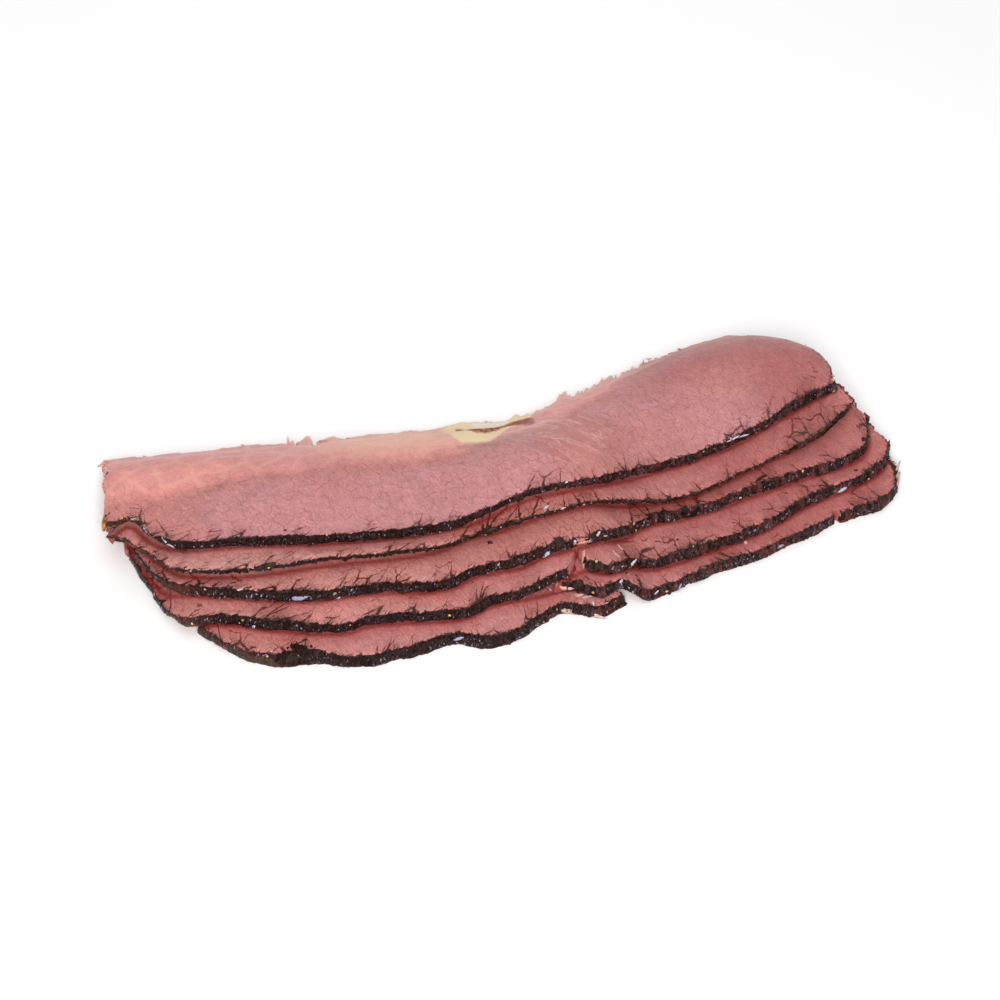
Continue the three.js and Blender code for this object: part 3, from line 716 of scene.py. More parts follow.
def quads(grid, wrap=False):
    """The four corners of each cell of a grid of vertex numbers, and of the cells that close it."""
    if wrap:
        grid = np.concatenate([grid, grid[:, :1]], 1)
    corners = grid[:-1, :-1], grid[:-1, 1:], grid[1:, 1:], grid[1:, :-1]
    return np.stack([c.ravel() for c in corners], 1)


def share_out(spot, x, y):
    """Share of the way out of an oval spot: 0 in its middle and 1 on its rim."""
    (at_x, at_y), (wide, deep) = spot["at"], spot["size"]
    return np.hypot((x - at_x) / wide, (y - at_y) / deep)


def top_heights(piece, below, x, y, crust_gap, torn_gap):
    """Top of a slice: swell of what it rests on plus its thickness, rounded off and thinned at the
    torn back, with a crumbly rim at the crust, low unevenness from noise, and its lumps."""
    rim = np.minimum(crust_gap, torn_gap)
    rounding = EDGE_ROUNDING * (1 - smooth(torn_gap / TORN_ROUNDING_WIDTH))
    rounding += CRUST_ROUNDING * (1 - smooth(crust_gap / CRUST_ROUNDING_WIDTH))
    thinning = THINNING * (1 - smooth(torn_gap / THINNING_WIDTH))
    crumbs = waves(piece, "crumbs", x, y) * (1 - smooth(crust_gap / CRUMBLY_WIDTH))
    lump = np.zeros(x.shape)
    if piece["node"] == TOP:
        lump = FAT_RISE * smooth(1 - share_out(FAT_LUMP, x, y))
    knobs = humps(x, piece["knobs"]) * (1 - smooth(crust_gap / KNOB_WIDTH))
    uneven = waves(piece, "uneven", x, y) * smooth(rim / 1.5)
    extra = THICK - rounding - thinning + crumbs + uneven + lump + knobs
    return swell(x, y, resting(piece, below, x, y) + extra)


def side_rings(piece, below, edge, edge_z):
    """The crusty side, ring by ring from the top's border down to the foot's.

    A place on it is the border moved out by lean times the share of the way down, plus crags:
    ribs down the side, grit and lumps, all from noise along the edge, under a rounded bulge.
    """
    foot = edge["places"] + edge["out"] * edge["lean"][:, None]
    foot_z = swell(foot[:, 0], foot[:, 1], resting(piece, below, foot[:, 0], foot[:, 1]))
    t = np.linspace(0, 1, SIDE_RINGS + 1)[:, None]
    bulge = np.sin(np.pi * np.clip(t * 1.05, 0, 1)) ** 0.6
    run = edge["run"] + 0 * t
    ribs = waves(piece, "ribs", run)
    grit = waves(piece, "grit", run, t * THICK)
    lumps = waves(piece, "lumps", run, t * THICK * 0.6)
    knobs = KNOB_OUT * humps(edge["places"][:, 0], piece["knobs"])
    share = CRUSTLESS + (1 - CRUSTLESS) * edge["crusted"]
    crag = (CRAG + ribs + grit + lumps + knobs) * share * bulge
    reach = edge["lean"] * t + crag
    x = edge["places"][:, 0] + edge["out"][:, 0] * reach
    y = edge["places"][:, 1] + edge["out"][:, 1] * reach
    return np.stack([x, y, edge_z + (foot_z - edge_z) * t], -1), t


def slice_surface(piece, below):
    """A closed slice: a top sheet, a ring of side and a coarser foot sheet, with what its finish reads."""
    plan = plan_grid(piece)
    columns = plan.shape[0] - 1
    rows = plan.shape[1] - 1
    x, y = plan[..., 0], plan[..., 1]
    edge = edge_of(piece, plan)
    cells = edge["cells"]
    wrapped = [p for p in plan[::-3, 0] if p[0] > piece["wraps_from"]]
    crust_line = np.array([*plan[::3, -1], plan[-1, -1], *wrapped])
    crust_gap = distance_to(crust_line, x, y)
    torn_gap = distance_to(plan[::3, 0], x, y)
    top = np.dstack([x, y, top_heights(piece, below, x, y, crust_gap, torn_gap)])
    side, t = side_rings(piece, below, edge, top[cells[:, 0], cells[:, 1], 2])
    picked = np.unique(np.linspace(0, rows, FOOT_ROWS + 1).astype(int))
    foot_x, foot_y = x[1:-1, picked[1:-1]], y[1:-1, picked[1:-1]]
    foot = np.dstack([foot_x, foot_y, swell(foot_x, foot_y, resting(piece, below, foot_x, foot_y))])
    piece.update(edge=edge, top=top, side=side)

    # Vertex numbers: the top's, then the side's below its first ring, then the foot's inner ones.
    top_ids = np.arange(x.size).reshape(x.shape)
    ring_ids = x.size + np.arange(SIDE_RINGS * len(cells)).reshape(SIDE_RINGS, len(cells))
    ring_ids = np.vstack([top_ids[cells[:, 0], cells[:, 1]], ring_ids])
    rim_ids = np.zeros((columns + 1, rows + 1), int)
    rim_ids[cells[:, 0], cells[:, 1]] = ring_ids[-1]
    foot_ids = rim_ids[:, picked]
    first_inner = x.size + SIDE_RINGS * len(cells)
    foot_ids[1:-1, 1:-1] = first_inner + np.arange(foot_x.size).reshape(foot_x.shape)
    faces = [quads(top_ids), quads(ring_ids[::-1], wrap=True), quads(foot_ids[1:-1].T)]
    ends = []
    for b, (low, high) in enumerate(zip(picked, picked[1:])):
        ends.append([foot_ids[1, b + 1], *rim_ids[0, low:high + 1][::-1], foot_ids[1, b]])
        ends.append([foot_ids[-2, b], *rim_ids[-1, low:high + 1], foot_ids[-2, b + 1]])
    attributes = finish_vectors(piece, plan, crust_gap, torn_gap, t, picked)
    return joined(top, side, foot), faces, ends, attributes


def finish_vectors(piece, plan, crust_gap, torn_gap, t, picked):
    """What the finish reads at each vertex, worked out for the top and carried down the side."""
    x, y = plan[..., 0], plan[..., 1]
    cells, crusted = piece["edge"]["cells"], piece["edge"]["crusted"]
    torn_here = notch_depth(x, piece["notches"]) + humps(x, piece["bare"])
    open_meat = smooth(torn_here / TEAR_FADE) * smooth(2.5 - crust_gap / 3)
    crusty = np.maximum(smooth(torn_gap / 1.5), smooth((x - piece["wraps_from"]) / 3)) * (1 - open_meat)
    run = run_along(plan[:, -1])[:, None] + 0 * x
    stain, crack = edge_marks(piece, x, run)
    stain += (STAIN_IN_TEAR - stain) * open_meat
    crack += (CRACK_IN_TEAR - crack) * open_meat
    tone, amber = tones(piece, x, y, torn_gap)
    rust = smooth(1.4 - (x - piece["front"][0][0]) / 14) * piece["rusty"]
    on_top_of = {
        "edge_place": np.dstack([run, crust_gap, 0 * x]),
        "edge_looks": np.dstack([crusty, stain, torn_gap]),
        "tone": tone,
        "marks": np.dstack([crack, rust, amber]),
        "fat_marks": fat_marks(piece, x, y),
        "painted_shading_and_pale": painted_shading_and_pale(piece, x, y, torn_gap),
    }
    attributes = {}
    for name, on_top in on_top_of.items():
        on_side = on_top[cells[:, 0], cells[:, 1]] + 0 * t[..., None]
        if name == "edge_place":
            on_side[..., 1] += 4 * (1 - crusted)
            on_side[..., 2] = t * THICK
        if name == "edge_looks":
            on_side[..., 0] = crusted
        on_foot = on_top[1:-1, picked[1:-1]] + (0, 0, THICK if name == "edge_place" else 0)
        attributes[name] = joined(on_top, on_side, on_foot)
    return attributes


def joined(top, side, foot):
    """One list of vectors for the whole slice, in the order of its vertex numbers."""
    return np.concatenate([top.reshape(-1, 3), side[1:].reshape(-1, 3), foot.reshape(-1, 3)])


def edge_marks(piece, x, run):
    """How far brown stain and long cracks run in from the crust, in mm: noise and named clusters."""
    clusters = humps(x, piece["clusters"]) * (1 - smooth((x - piece["wraps_from"]) / 4))
    stain = STAIN + waves(piece, "stain", run) + STAIN_IN_CLUSTER * clusters
    long = smooth((waves(piece, "long_cracks", run) + 0.2) / 0.7)
    crack = CRACK + LONG_CRACK * long + CRACK_IN_CLUSTER * clusters + humps(x, piece["network"])
    return stain, crack


def thinned(piece, x):
    """How far the crust has thinned out towards the slice's left end."""
    return smooth((piece["thin_to"] - x) / THIN_FADE)


def painted_shading_and_pale(piece, x, y, torn_gap):
    """Painted contact shadow by the foot of the slice above, paler meat (painted light, or the pale torn
    rim), and painted red shade near that foot.
    """
    painted_contact_shadow = np.zeros(x.shape)
    red = np.zeros(x.shape)
    for upper in SLICES:
        if upper["level"] == piece["level"] - 1:
            foot = LIFTED_LEAN if upper["lifted"] else upper["lean"]
            past = -inside_distance(upper["outline"], x, y) - foot
            painted_contact_shadow = np.maximum(painted_contact_shadow, smooth(1 - np.abs(past) / CONTACT_SHADOW_WIDTH))
            red = np.maximum(red, smooth(1 - np.abs(past) / SHADE_RED_WIDTH))
    rim = humps(x, piece["pale_rim"]) * smooth(1 - torn_gap / PALE_RIM_WIDTH)
    return np.dstack([painted_contact_shadow, np.minimum(humps(x, piece["pale_and_painted_light"]) + rim, 1), red])


def tones(piece, x, y, torn_gap):
    """Warmth from -1, cool lilac that is partly a painted sheen, to 1, by the torn back, masks for fat and
    redder meat, and one for amber.
    """
    wave = waves(piece, "patches", x, y)
    cool_sheen = smooth(0.6 + waves(piece, "cool_sheen_patches", x, y))
    if piece["node"] != TOP:
        warm = smooth(1.3 - torn_gap / 10 + 0.3 * wave) - 0.3 * cool_sheen
        ruddy = 0.8 * smooth((x - 22) / 40) * (0.9 + 0.2 * wave) + 0.3 * smooth((-70 - x) / 20)
        return np.dstack([warm, 0 * x, np.clip(ruddy, 0, 1)]), 0 * x
    front = np.interp(x, *np.transpose(WARM_FRONT)) + 2 * wave
    warm = smooth((y - front + 7) / 14)
    warm = np.maximum(warm, 0.6 * folded(x, y))
    amber = 0.25 * smooth(1.4 - np.abs(y - front - AMBER_BEHIND) / 5) * (0.8 + 0.5 * wave)
    amber = np.maximum(amber, smooth((y - front - AMBER_BEHIND + 5) / 10) * smooth((x + 58) / 25))
    amber = np.clip(amber, 0, 1) * smooth((8 - x) / 12)
    ruddy = 0.85 * smooth((x - 30) / 30) * smooth(1.6 - torn_gap / 20 + 0.3 * wave)
    return np.dstack([warm - cool_sheen * (1 - warm), fat_mask(x, y, wave), np.clip(ruddy, 0, 1)]), amber


def fat_mask(x, y, wave):
    """Fat behind a line in plan on the top slice, smoothstep of the distance past it."""
    line = np.array(FAT_FRONT)
    across = smooth((x - line[0, 0]) / 3) * smooth((line[-1, 0] - x) / 3)
    fat = across * smooth((y - np.interp(x, line[:, 0], line[:, 1]) + wave) / 2.5)
    brown = np.array(BROWN_LINE)
    behind = smooth((y - np.interp(x, brown[2:, 0], brown[2:, 1]) - 1) / 3)
    return fat + fat * behind * smooth((x + 3) / 2) * smooth((9 - x) / 3)


def fat_marks(piece, x, y):
    """Distance from the brown line and the grey line by the fat, squeezed along Y, and where folds are."""
    if piece["node"] != TOP:
        return np.zeros(x.shape + (3,)) + (9, 9, 0)
    brown = distance_to([(a, LINE_SQUEEZE * b) for a, b in BROWN_LINE], x, LINE_SQUEEZE * y)
    grey = distance_to([(a, LINE_SQUEEZE * b) for a, b in GREY_LINE], x, LINE_SQUEEZE * y)
    brown = brown - 0.9 * smooth((x - 6) / 4)
    return np.dstack([brown, grey, folded(x, y)])


def folded(x, y):
    """Where the folds beside the fat are: smoothstep of the share of the way out of their oval."""
    return smooth(1.3 - share_out(FOLDS, x, y))


def linear(code):
    """sRGB hex to linear red, green, blue and alpha."""
    parts = [(code >> shift & 255) / 255 for shift in (16, 8, 0)]
    return tuple(((p + 0.055) / 1.055) ** 2.4 if p > 0.04045 else p / 12.92 for p in parts) + (1,)


def new_material(name):
    """An empty material, and the one function that adds nodes to it."""
    material = bpy.data.materials.new(name)
    material.use_nodes = True
    tree = material.node_tree
    tree.nodes.clear()

    def put(kind, inputs=(), out=0, **settings):
        """Adds a node with its settings, and returns an output. Its sockets are fed with links, numbers
        or hex colours, by name or number, or in order."""
        node = tree.nodes.new("ShaderNode" + kind)
        for setting, value in settings.items():
            setattr(node, setting, value)
        fed = inputs if isinstance(inputs, dict) else dict(enumerate(inputs))
        for socket, value in fed.items():
            if isinstance(value, bpy.types.NodeSocket):
                tree.links.new(value, node.inputs[socket])
            elif node.inputs[socket].type == "RGBA":
                node.inputs[socket].default_value = linear(value)
            else:
                node.inputs[socket].default_value = value
        return node.outputs[out] if node.outputs else None

    return material, put


def in_mm(put):
    """The object's own place, in mm."""
    return put("VectorMath", {0: put("TexCoord", out="Object"), "Scale": 1 / MM}, operation="SCALE")


def stored(put, name):
    """The three parts of a vector that the mesh keeps at its vertices."""
    vector = put("Attribute", attribute_name=name, out="Vector")
    return [put("SeparateXYZ", (vector,), axis) for axis in range(3)]


def painted(put, colour, layers):
    """The colour with layers laid over it in turn.

    A layer has its colour, the mask that gives its share and the range that the mask is read from and
    to. A second mask that multiplies the share, and how it blends, may be left out.
    """
    for tint, mask, span, *more in layers:
        within = more[0] if more else None
        how = more[1] if len(more) > 1 else "MIX"
        share = put("MapRange", (mask, *span))
        if within:
            share = put("Math", (share, within), **TIMES)
        colour = put("Mix", {0: share, 6: colour, 7: tint}, 2, data_type="RGBA", blend_type=how)
    return colour


def mesh_object(name, points, faces, materials, attributes=(), face_materials=None):
    """A smooth mesh of points in mm, with named vector attributes."""
    mesh = bpy.data.meshes.new(name)
    mesh.from_pydata((points * MM).tolist(), [], faces)
    for attribute, values in dict(attributes).items():
        layer = mesh.attributes.new(attribute, "FLOAT_VECTOR", "POINT")
        layer.data.foreach_set("vector", np.ascontiguousarray(values, np.float32).ravel())
    for material in materials:
        mesh.materials.append(material)
    if face_materials is not None:
        mesh.polygons.foreach_set("material_index", face_materials)
    mesh.polygons.foreach_set("use_smooth", np.ones(len(mesh.polygons), bool))
    mesh.update()
    piece = bpy.data.objects.new(name, mesh)
    bpy.context.scene.collection.objects.link(piece)
    return piece


# Sliced cured beef: moist, slightly translucent cut muscle, rose with darker seams between bundles
# of fibre about 3 mm wide, and a wet film that breaks the light into small glints, with more glints painted
# in as pale specks.
def cured_beef():
    material, put = new_material("cured_beef_cut_face")
    place = in_mm(put)
    run, gap, depth = stored(put, "edge_place")
    crusty, stain, torn = stored(put, "edge_looks")
    warmth, fat, ruddy = stored(put, "tone")
    crack_length, _, amber = stored(put, "marks")
    brown_gap, grey_gap, folds = stored(put, "fat_marks")
    painted_contact_shadow, pale_and_painted_light, painted_red_shade = stored(put, "painted_shading_and_pale")
    warm = put("MapRange", (warmth, 0, 1))
    cloud, breaks, grain, painted_glint, smudge, dab, blot = [
        put("TexNoise", {"Vector": place, "Scale": 1 / size, "Detail": detail, "Roughness": rough})
        for size, detail, rough in MEAT_NOISE
    ]

    # Fields that run on a slant across the slice, and bend: fibres, flecks, folds painted as shade and
    # highlight, and wisps.
    bend = put("TexNoise", {"Vector": place, "Scale": 1 / BEND, "Detail": 3}, "Color")
    bend = put("VectorMath", (bend, (BEND, BEND, 0), place), **PRODUCT_PLUS)
    slanted = []
    for turn, along, across, detail, rough in SLANTED_NOISE:
        drawn = put("Mapping", (bend, (0, 0, 0), (0, 0, turn), (along, across, 9)), vector_type="TEXTURE")
        slanted.append(put("TexNoise", {"Vector": drawn, "Scale": 1, "Detail": detail, "Roughness": rough}))
    fibre, fleck, painted_fold, wisp = slanted

    # Seams between the fibre bundles are a broken net in two sizes, weak where the meat is fatty, and
    # veins of fat are a third one.
    fatty = put("MapRange", (put("Math", (amber, fat), operation="MAXIMUM"), 0.1, 0.8, 1, 0.12))
    seams = put("Math", (put("MapRange", (breaks, 0.38, 0.54, 0.1, 1)), fatty), **TIMES)
    seams = put("Math", (seams, put("MapRange", (warm, 0, 1, 0.9, 0.4))), **TIMES)
    bundles, strands, veins = [
        put("TexVoronoi", {"Vector": bend, "Scale": 1 / size}, **NET) for size in (BUNDLE, STRAND, VEIN)
    ]
    lean_meat = put("MapRange", (put("Math", (warm, fat), operation="MAXIMUM"), 0, 1, 1, 0.35))
    painted_fold_highlight = put("Math", (put("Math", (painted_fold, 0.55), operation="SUBTRACT"),), operation="ABSOLUTE")
    smudge = put("Math", (smudge, 0.5), operation="SUBTRACT")
    brown_gap = put("Math", (smudge, 1.6, brown_gap), **PRODUCT_PLUS)
    grey_gap = put("Math", (smudge, 1.6, grey_gap), **PRODUCT_PLUS)

    # Cracks run in from the crust. They lean right as they rise at the left end, and left at the right
    # end. Each set is the borders of cells drawn out along the cracks, narrower towards their tips.
    in_crack = put("Math", (gap, crack_length), operation="DIVIDE")
    deep = put("MapRange", (crack_length, 3, 7.5))
    side_to_side = put("SeparateXYZ", (place,))
    waver = put("TexNoise", {"Vector": put("CombineXYZ", (run,)), "Scale": 1 / 6, "Detail": 1})
    lean = put("Math", (waver, 2, put("MapRange", (side_to_side, -60, 50, -1.9, -0.3))), **PRODUCT_PLUS)
    leaned = put("Math", (gap, lean, run), **PRODUCT_PLUS)
    on_edge_map = put("CombineXYZ", (run, gap))
    shake = put("TexNoise", {"Vector": on_edge_map, "Scale": 1 / 1.2, "Detail": 3}, "Color")
    blot = put("MapRange", (blot, 0.35, 0.65, 0.5, 1.4))
    cracks = 0
    for across, along, wide, reach, grown in CRACK_SETS:
        streak = put("CombineXYZ", (leaned, put("Math", (gap, across / along), **TIMES)))
        streak = put("VectorMath", (shake, (1.1, 0.9, 0), streak), **PRODUCT_PLUS)
        off = put("TexVoronoi", {"Vector": streak, "Scale": 1 / across}, **NET)
        width = put("MapRange", (put("Math", (in_crack, reach), **TIMES), 0, 1, wide, -0.012))
        for factor in (put("MapRange", (deep, 0, 1, 0.9, grown)), blot):
            width = put("Math", (width, factor), **TIMES)
        crack = put("MapRange", (put("Math", (width, off), operation="SUBTRACT"), -0.006, 0.02))
        cracks = put("Math", (crack, cracks), operation="MAXIMUM")

    # Meat browned by smoke where long cracks gather, and brown brush marks of the crust's lip: strokes
    # at a slant to the edge.
    waved = put("TexNoise", {"Vector": streak, "Scale": 1 / 1.4, "Detail": 4, "Roughness": 0.7})
    waved = put("Math", (waved, 1.4, in_crack), **PRODUCT_PLUS)
    strokes = put("CombineXYZ", (leaned, put("Math", (gap, 0.8), **TIMES)))
    strokes = put("VectorMath", (shake, (0.5, 0.9, 0), strokes), **PRODUCT_PLUS)
    strokes = put("TexNoise", {"Vector": strokes, "Scale": 1 / 0.6, "Detail": 4, "Roughness": 0.75})
    near = put("MapRange", (put("Math", (gap, stain), operation="DIVIDE"), 0.1, 1.3, 0.36, 0.7))
    lip = put("Math", (strokes, near), operation="SUBTRACT")

    crack_colour = painted(put, SMOKED, [(CRACK_TIP, in_crack, (0.15, 0.7))])
    bark = painted(put, BARK_DARK, [(BARK_BROWN, grain, (0.42, 0.62))])
    colour = painted(put, ROSE, [
        # Large patches: cool lilac in the middle, partly a painted sheen, salmon near the torn back, and
        # red towards the thick end.
        (LILAC_SHEEN, warmth, (0, -1)),
        (SALMON, warm, (0, 1)),
        # Meat painted paler where the slice above shades it: painted light.
        (PAINTED_LIGHT_PINK, pale_and_painted_light, (0, 1, 0, 0.8)),
        # Deeper red near the foot of the slice above: painted shade.
        (SHADE_DEEP_RED, painted_red_shade, (0, 1, 0, 0.42)),
        (AMBER, amber, (0, 1)),
        (RUDDY, ruddy, (0, 1)),
        (put("MapRange", (cloud, 0.3, 0.7, 0.9, 1.1)), 1, (0, 1), None, "MULTIPLY"),
        # Fine grain of the cut fibres, with pale dashes of fat, and painted glints: pale specks standing in
        # for highlights.
        (SEAM, bundles, (0, 0.05, 0.95, 0), seams),
        (SEAM, strands, (0, 0.07, 0.45, 0), seams),
        (put("MapRange", (grain, 0.3, 0.7, 0.82, 1.17)), lean_meat, (0, 1), None, "MULTIPLY"),
        (put("MapRange", (fibre, 0.35, 0.65, 0.84, 1.14)), lean_meat, (0, 1), None, "MULTIPLY"),
        (PALE, fleck, (0.64, 0.74, 0, 0.4)),
        (SEAM, fleck, (0.36, 0.28, 0, 0.45)),
        (PALE, painted_glint, (0.7, 0.75, 0, 0.6)),
        # Folds painted as shade in their troughs and highlight on their crests, wisps and veins in the warm
        # back, the fat with its marks, and the translucent rim.
        (RUDDY, painted_fold, (0.53, 0.46, 0, 0.45), folds),
        (PALE, painted_fold_highlight, (0.004, 0.03, 0.5, 0), folds),
        (PALE, wisp, (0.58, 0.68, 0, 0.25), warm),
        (AMBER, veins, (0, 0.13, 0.5, 0), warm),
        (FAT, fat, (0, 1)),
        (FAT_CLEAR, fat, (1, 1.8, 0, 0.8)),
        (PALE, torn, (0.1, 1.2, 0.6, 0), warm),
        (FAT_BROWN, brown_gap, (0.5, 1.2, 1, 0), put("MapRange", (dab, 0.36, 0.5, 0.35, 1))),
        (FAT_GREY, grey_gap, (-0.1, 0.7, 0.7, 0)),
        # What comes from the crust: its seared foot, smoke, cracks, a deep red painted contact shadow below
        # it, and its lip.
        (SEARED, depth, (0.2, 1.4, 0, 0.7), crusty),
        (SMOKE_STAIN, waved, (0.5, 1.3, 0.8, 0), deep, "MULTIPLY"),
        (crack_colour, cracks, (0, 1)),
        # A deep red painted contact shadow where the slice above rests.
        (CONTACT_SHADOW_RED, painted_contact_shadow, (0, 1, 0, 0.8)),
        (bark, lip, (0, 0.05, 0, 0.95)),
    ])
    bump = put("Bump", {"Height": grain, "Strength": lean_meat, "Distance": 0.2 * MM})
    softer = put("Math", (lean_meat, 0.5), **TIMES)
    bump = put("Bump", {"Height": fibre, "Strength": softer, "Distance": 0.4 * MM, "Normal": bump})
    shader = put("BsdfPrincipled", {
        "Base Color": colour,
        "Roughness": put("MapRange", (fat, 0, 1, 0.36, 0.8)),
        "IOR": 1.4,
        "Normal": bump,
        "Subsurface Weight": 0.12,
        "Subsurface Radius": (1.0, 0.25, 0.15),
        "Subsurface Scale": 1.5 * MM,
    })
    put("OutputMaterial", (shader,))
    return material


# Bark of smoke, cracked pepper and coriander: nearly black and gritty, standing in ribs down the side,
# purple-brown where they are dry, with glossy films of jelly and fat that are also painted with pale
# glints.
def spice_crust():
    material, put = new_material("smoked_spice_crust")
    place = in_mm(put)
    edge = put("Attribute", attribute_name="edge_place", out="Vector")
    depth = stored(put, "edge_place")[2]
    rusty = stored(put, "marks")[1]
    grit, patch, wet = [
        put("TexNoise", {"Vector": place, "Scale": 1 / size, "Detail": detail, "Roughness": rough})
        for size, detail, rough in CRUST_NOISE
    ]
    # Ribs, and short upright films of jelly between them, read along the edge and down it. The films are
    # glossier and painted pale as glints.
    upright = []
    for wide, tall, detail, rough in UPRIGHT_NOISE:
        drawn = put("VectorMath", (edge, (1 / wide, 0, 1 / tall)), **TIMES)
        upright.append(put("TexNoise", {"Vector": drawn, "Scale": 1, "Detail": detail, "Roughness": rough}))
    ribs, glint_film = upright
    side_to_side = put("SeparateXYZ", (place,))
    thick_end = put("MapRange", (side_to_side, -20, 35, 0.12, 1))
    dry = put("Math", (put("MapRange", (grit, 0.36, 0.56)), thick_end), **TIMES)
    red = put("Math", (put("MapRange", (patch, 0.5, 0.6, 0, 0.8)), thick_end), **TIMES)
    red = put("Math", (red, rusty), operation="MAXIMUM")
    glint_film = put("MapRange", (glint_film, 0.56, 0.64))
    for factor in (put("MapRange", (wet, 0.45, 0.6, 0.1, 1)), put("MapRange", (depth, 0.3, 1))):
        glint_film = put("Math", (glint_film, factor), **TIMES)
    colour = painted(put, BARK_DARK, [
        (BARK_BROWN, grit, (0.5, 0.66)),
        (BARK_RIB, ribs, (0.5, 0.58, 0, 0.9), dry),
        (BARK_RED, grit, (0.35, 0.55), red),
        (BARK_EDGE, depth, (2.5, 3, 0, 0.55), put("MapRange", (patch, 0.45, 0.6))),
        # Painted glints on the films.
        (PAINTED_GLINT_LILAC, glint_film, (0, 1)),
    ])
    bump = put("Bump", {"Height": grit, "Strength": 1, "Distance": 0.4 * MM})
    bump = put("Bump", {"Height": ribs, "Strength": 1, "Distance": 1.2 * MM, "Normal": bump})
    gloss = put("MapRange", (glint_film, 0, 1, 0.32, 0.12))
    shader = put("BsdfPrincipled", {"Base Color": colour, "Roughness": gloss, "IOR": 1.25, "Normal": bump})
    put("OutputMaterial", (shader,))
    return material


# A small thing of two mottled colours: fat, seed shell, pepper or shred of meat. Sizes in mm.
def mottled(name, one, other, mottle, roughness, relief):
    material, put = new_material(name)
    place = in_mm(put)
    mottling = put("TexNoise", {"Vector": place, "Scale": 1 / mottle, "Detail": 3, "Roughness": 0.65})
    colour = painted(put, one, [(other, mottling, (0.38, 0.62))])
    pits = put("TexNoise", {"Vector": place, "Scale": 1 / 0.25, "Detail": 3})
    bump = put("Bump", {"Height": pits, "Strength": 0.7, "Distance": relief * MM})
    shader = put("BsdfPrincipled", {
        "Base Color": colour, "Roughness": roughness, "IOR": 1.4, "Normal": bump,
    })
    put("OutputMaterial", (shader,))
    return material


# Matt white paper-like surface under the pile.
def pale_floor():
    material, put = new_material("pale_floor")
    put("OutputMaterial", (put("BsdfPrincipled", {"Base Color": 0xFAFAFA, "Roughness": 0.9}),))
    return material


def bead(rings, segments):
    """A ball of radius 1 on rings about the X axis, its two ends closed by triangles."""
    polar = np.linspace(0, np.pi, rings + 2)[1:-1, None]
    turn = np.linspace(0, 2 * np.pi, segments, endpoint=False)[None]
    around = np.sin(polar)
    ball = np.stack([np.cos(polar) + 0 * turn, around * np.cos(turn), around * np.sin(turn)], -1)
    points = np.concatenate([[(1, 0, 0)], ball.reshape(-1, 3), [(-1, 0, 0)]])
    ids = 1 + np.arange(rings * segments).reshape(rings, segments)
    after = np.roll(ids, -1, 1)
    first = np.stack([0 * ids[0], ids[0], after[0]], 1)
    last = np.stack([0 * ids[0] + len(points) - 1, after[-1], ids[-1]], 1)
    return points, quads(ids, wrap=True)[:, ::-1], np.concatenate([first, last])


def on_edge(piece, cells, down):
    """Places on a slice's side, so many mm down, with the directions off it and along it."""
    ring = np.clip(np.round(down / THICK * SIDE_RINGS), 0, SIDE_RINGS).astype(int)
    out = piece["edge"]["out"][cells]
    off = np.column_stack([out, UPWARD + 0 * down])
    off = off / np.linalg.norm(off, axis=-1, keepdims=True)
    along = np.column_stack([-out[:, 1], out[:, 0], 0 * down])
    return piece["side"][ring, cells], off, along


def named_places(groups):
    """Places, directions and sizes of the listed bits: on the crust, or on the top face."""
    rows = []
    for node, spots in groups:
        piece = next(p for p in SLICES if p["node"] == node)
        for x, y, down, length, width, *angles in spots:
            turn, tip, curl = (*angles, 0, 0, 0)[:3]
            away = np.hypot(piece["edge"]["places"][:, 0] - x, piece["edge"]["places"][:, 1] - y)
            place, off, along = on_edge(piece, np.array([away.argmin()]), np.array([down or 0.0]))
            if down is None:
                top = piece["top"].reshape(-1, 3)
                place = top[np.hypot(top[:, 0] - x, top[:, 1] - y).argmin()][None]
                off = np.array([(0.0, 0.0, 1.0)])
                along = np.array([(1.0, 0.0, 0.0)])
            angles = math.radians(turn), math.radians(tip)
            rows.append([*place[0], *off[0], *along[0], length, width, *angles, curl])
    return np.array(rows)


def strewn_places(rng, each, lengths, flatness, downs, part="front", upright=0.7):
    """Random places and sizes: so many a mm along the crusts, or along the top slice's torn back."""
    rows = []
    for piece in SLICES:
        if part == "back" and piece["level"] > 1:
            continue
        columns = piece["top"].shape[0] - 1
        side = piece["top"].shape[1] - 1
        if part == "back":
            picks = np.arange(columns + side, 2 * columns + side)
        else:
            picks = np.nonzero(piece["edge"]["crusted"][:columns + side] > 0.6)[0]
        count = int(len(picks) * STATION_PITCH * each)
        cells = rng.choice(picks, count)
        down = rng.uniform(*downs, count)
        down = down * (1 - (1 - THIN_CRUST / THICK) * thinned(piece, piece["edge"]["places"][cells, 0]))
        place, off, along = on_edge(piece, cells, down)
        length = rng.uniform(*lengths, count)
        width = length * rng.uniform(*flatness, count)
        turn = (0 if part == "back" else math.pi / 2) + rng.normal(0, upright, count)
        tip = rng.uniform(0, 0.4, count)
        curl = rng.uniform(-0.3, 0.3, count)
        rows.append(np.column_stack([place, off, along, length, width, turn, tip, curl]))
    return np.concatenate(rows)


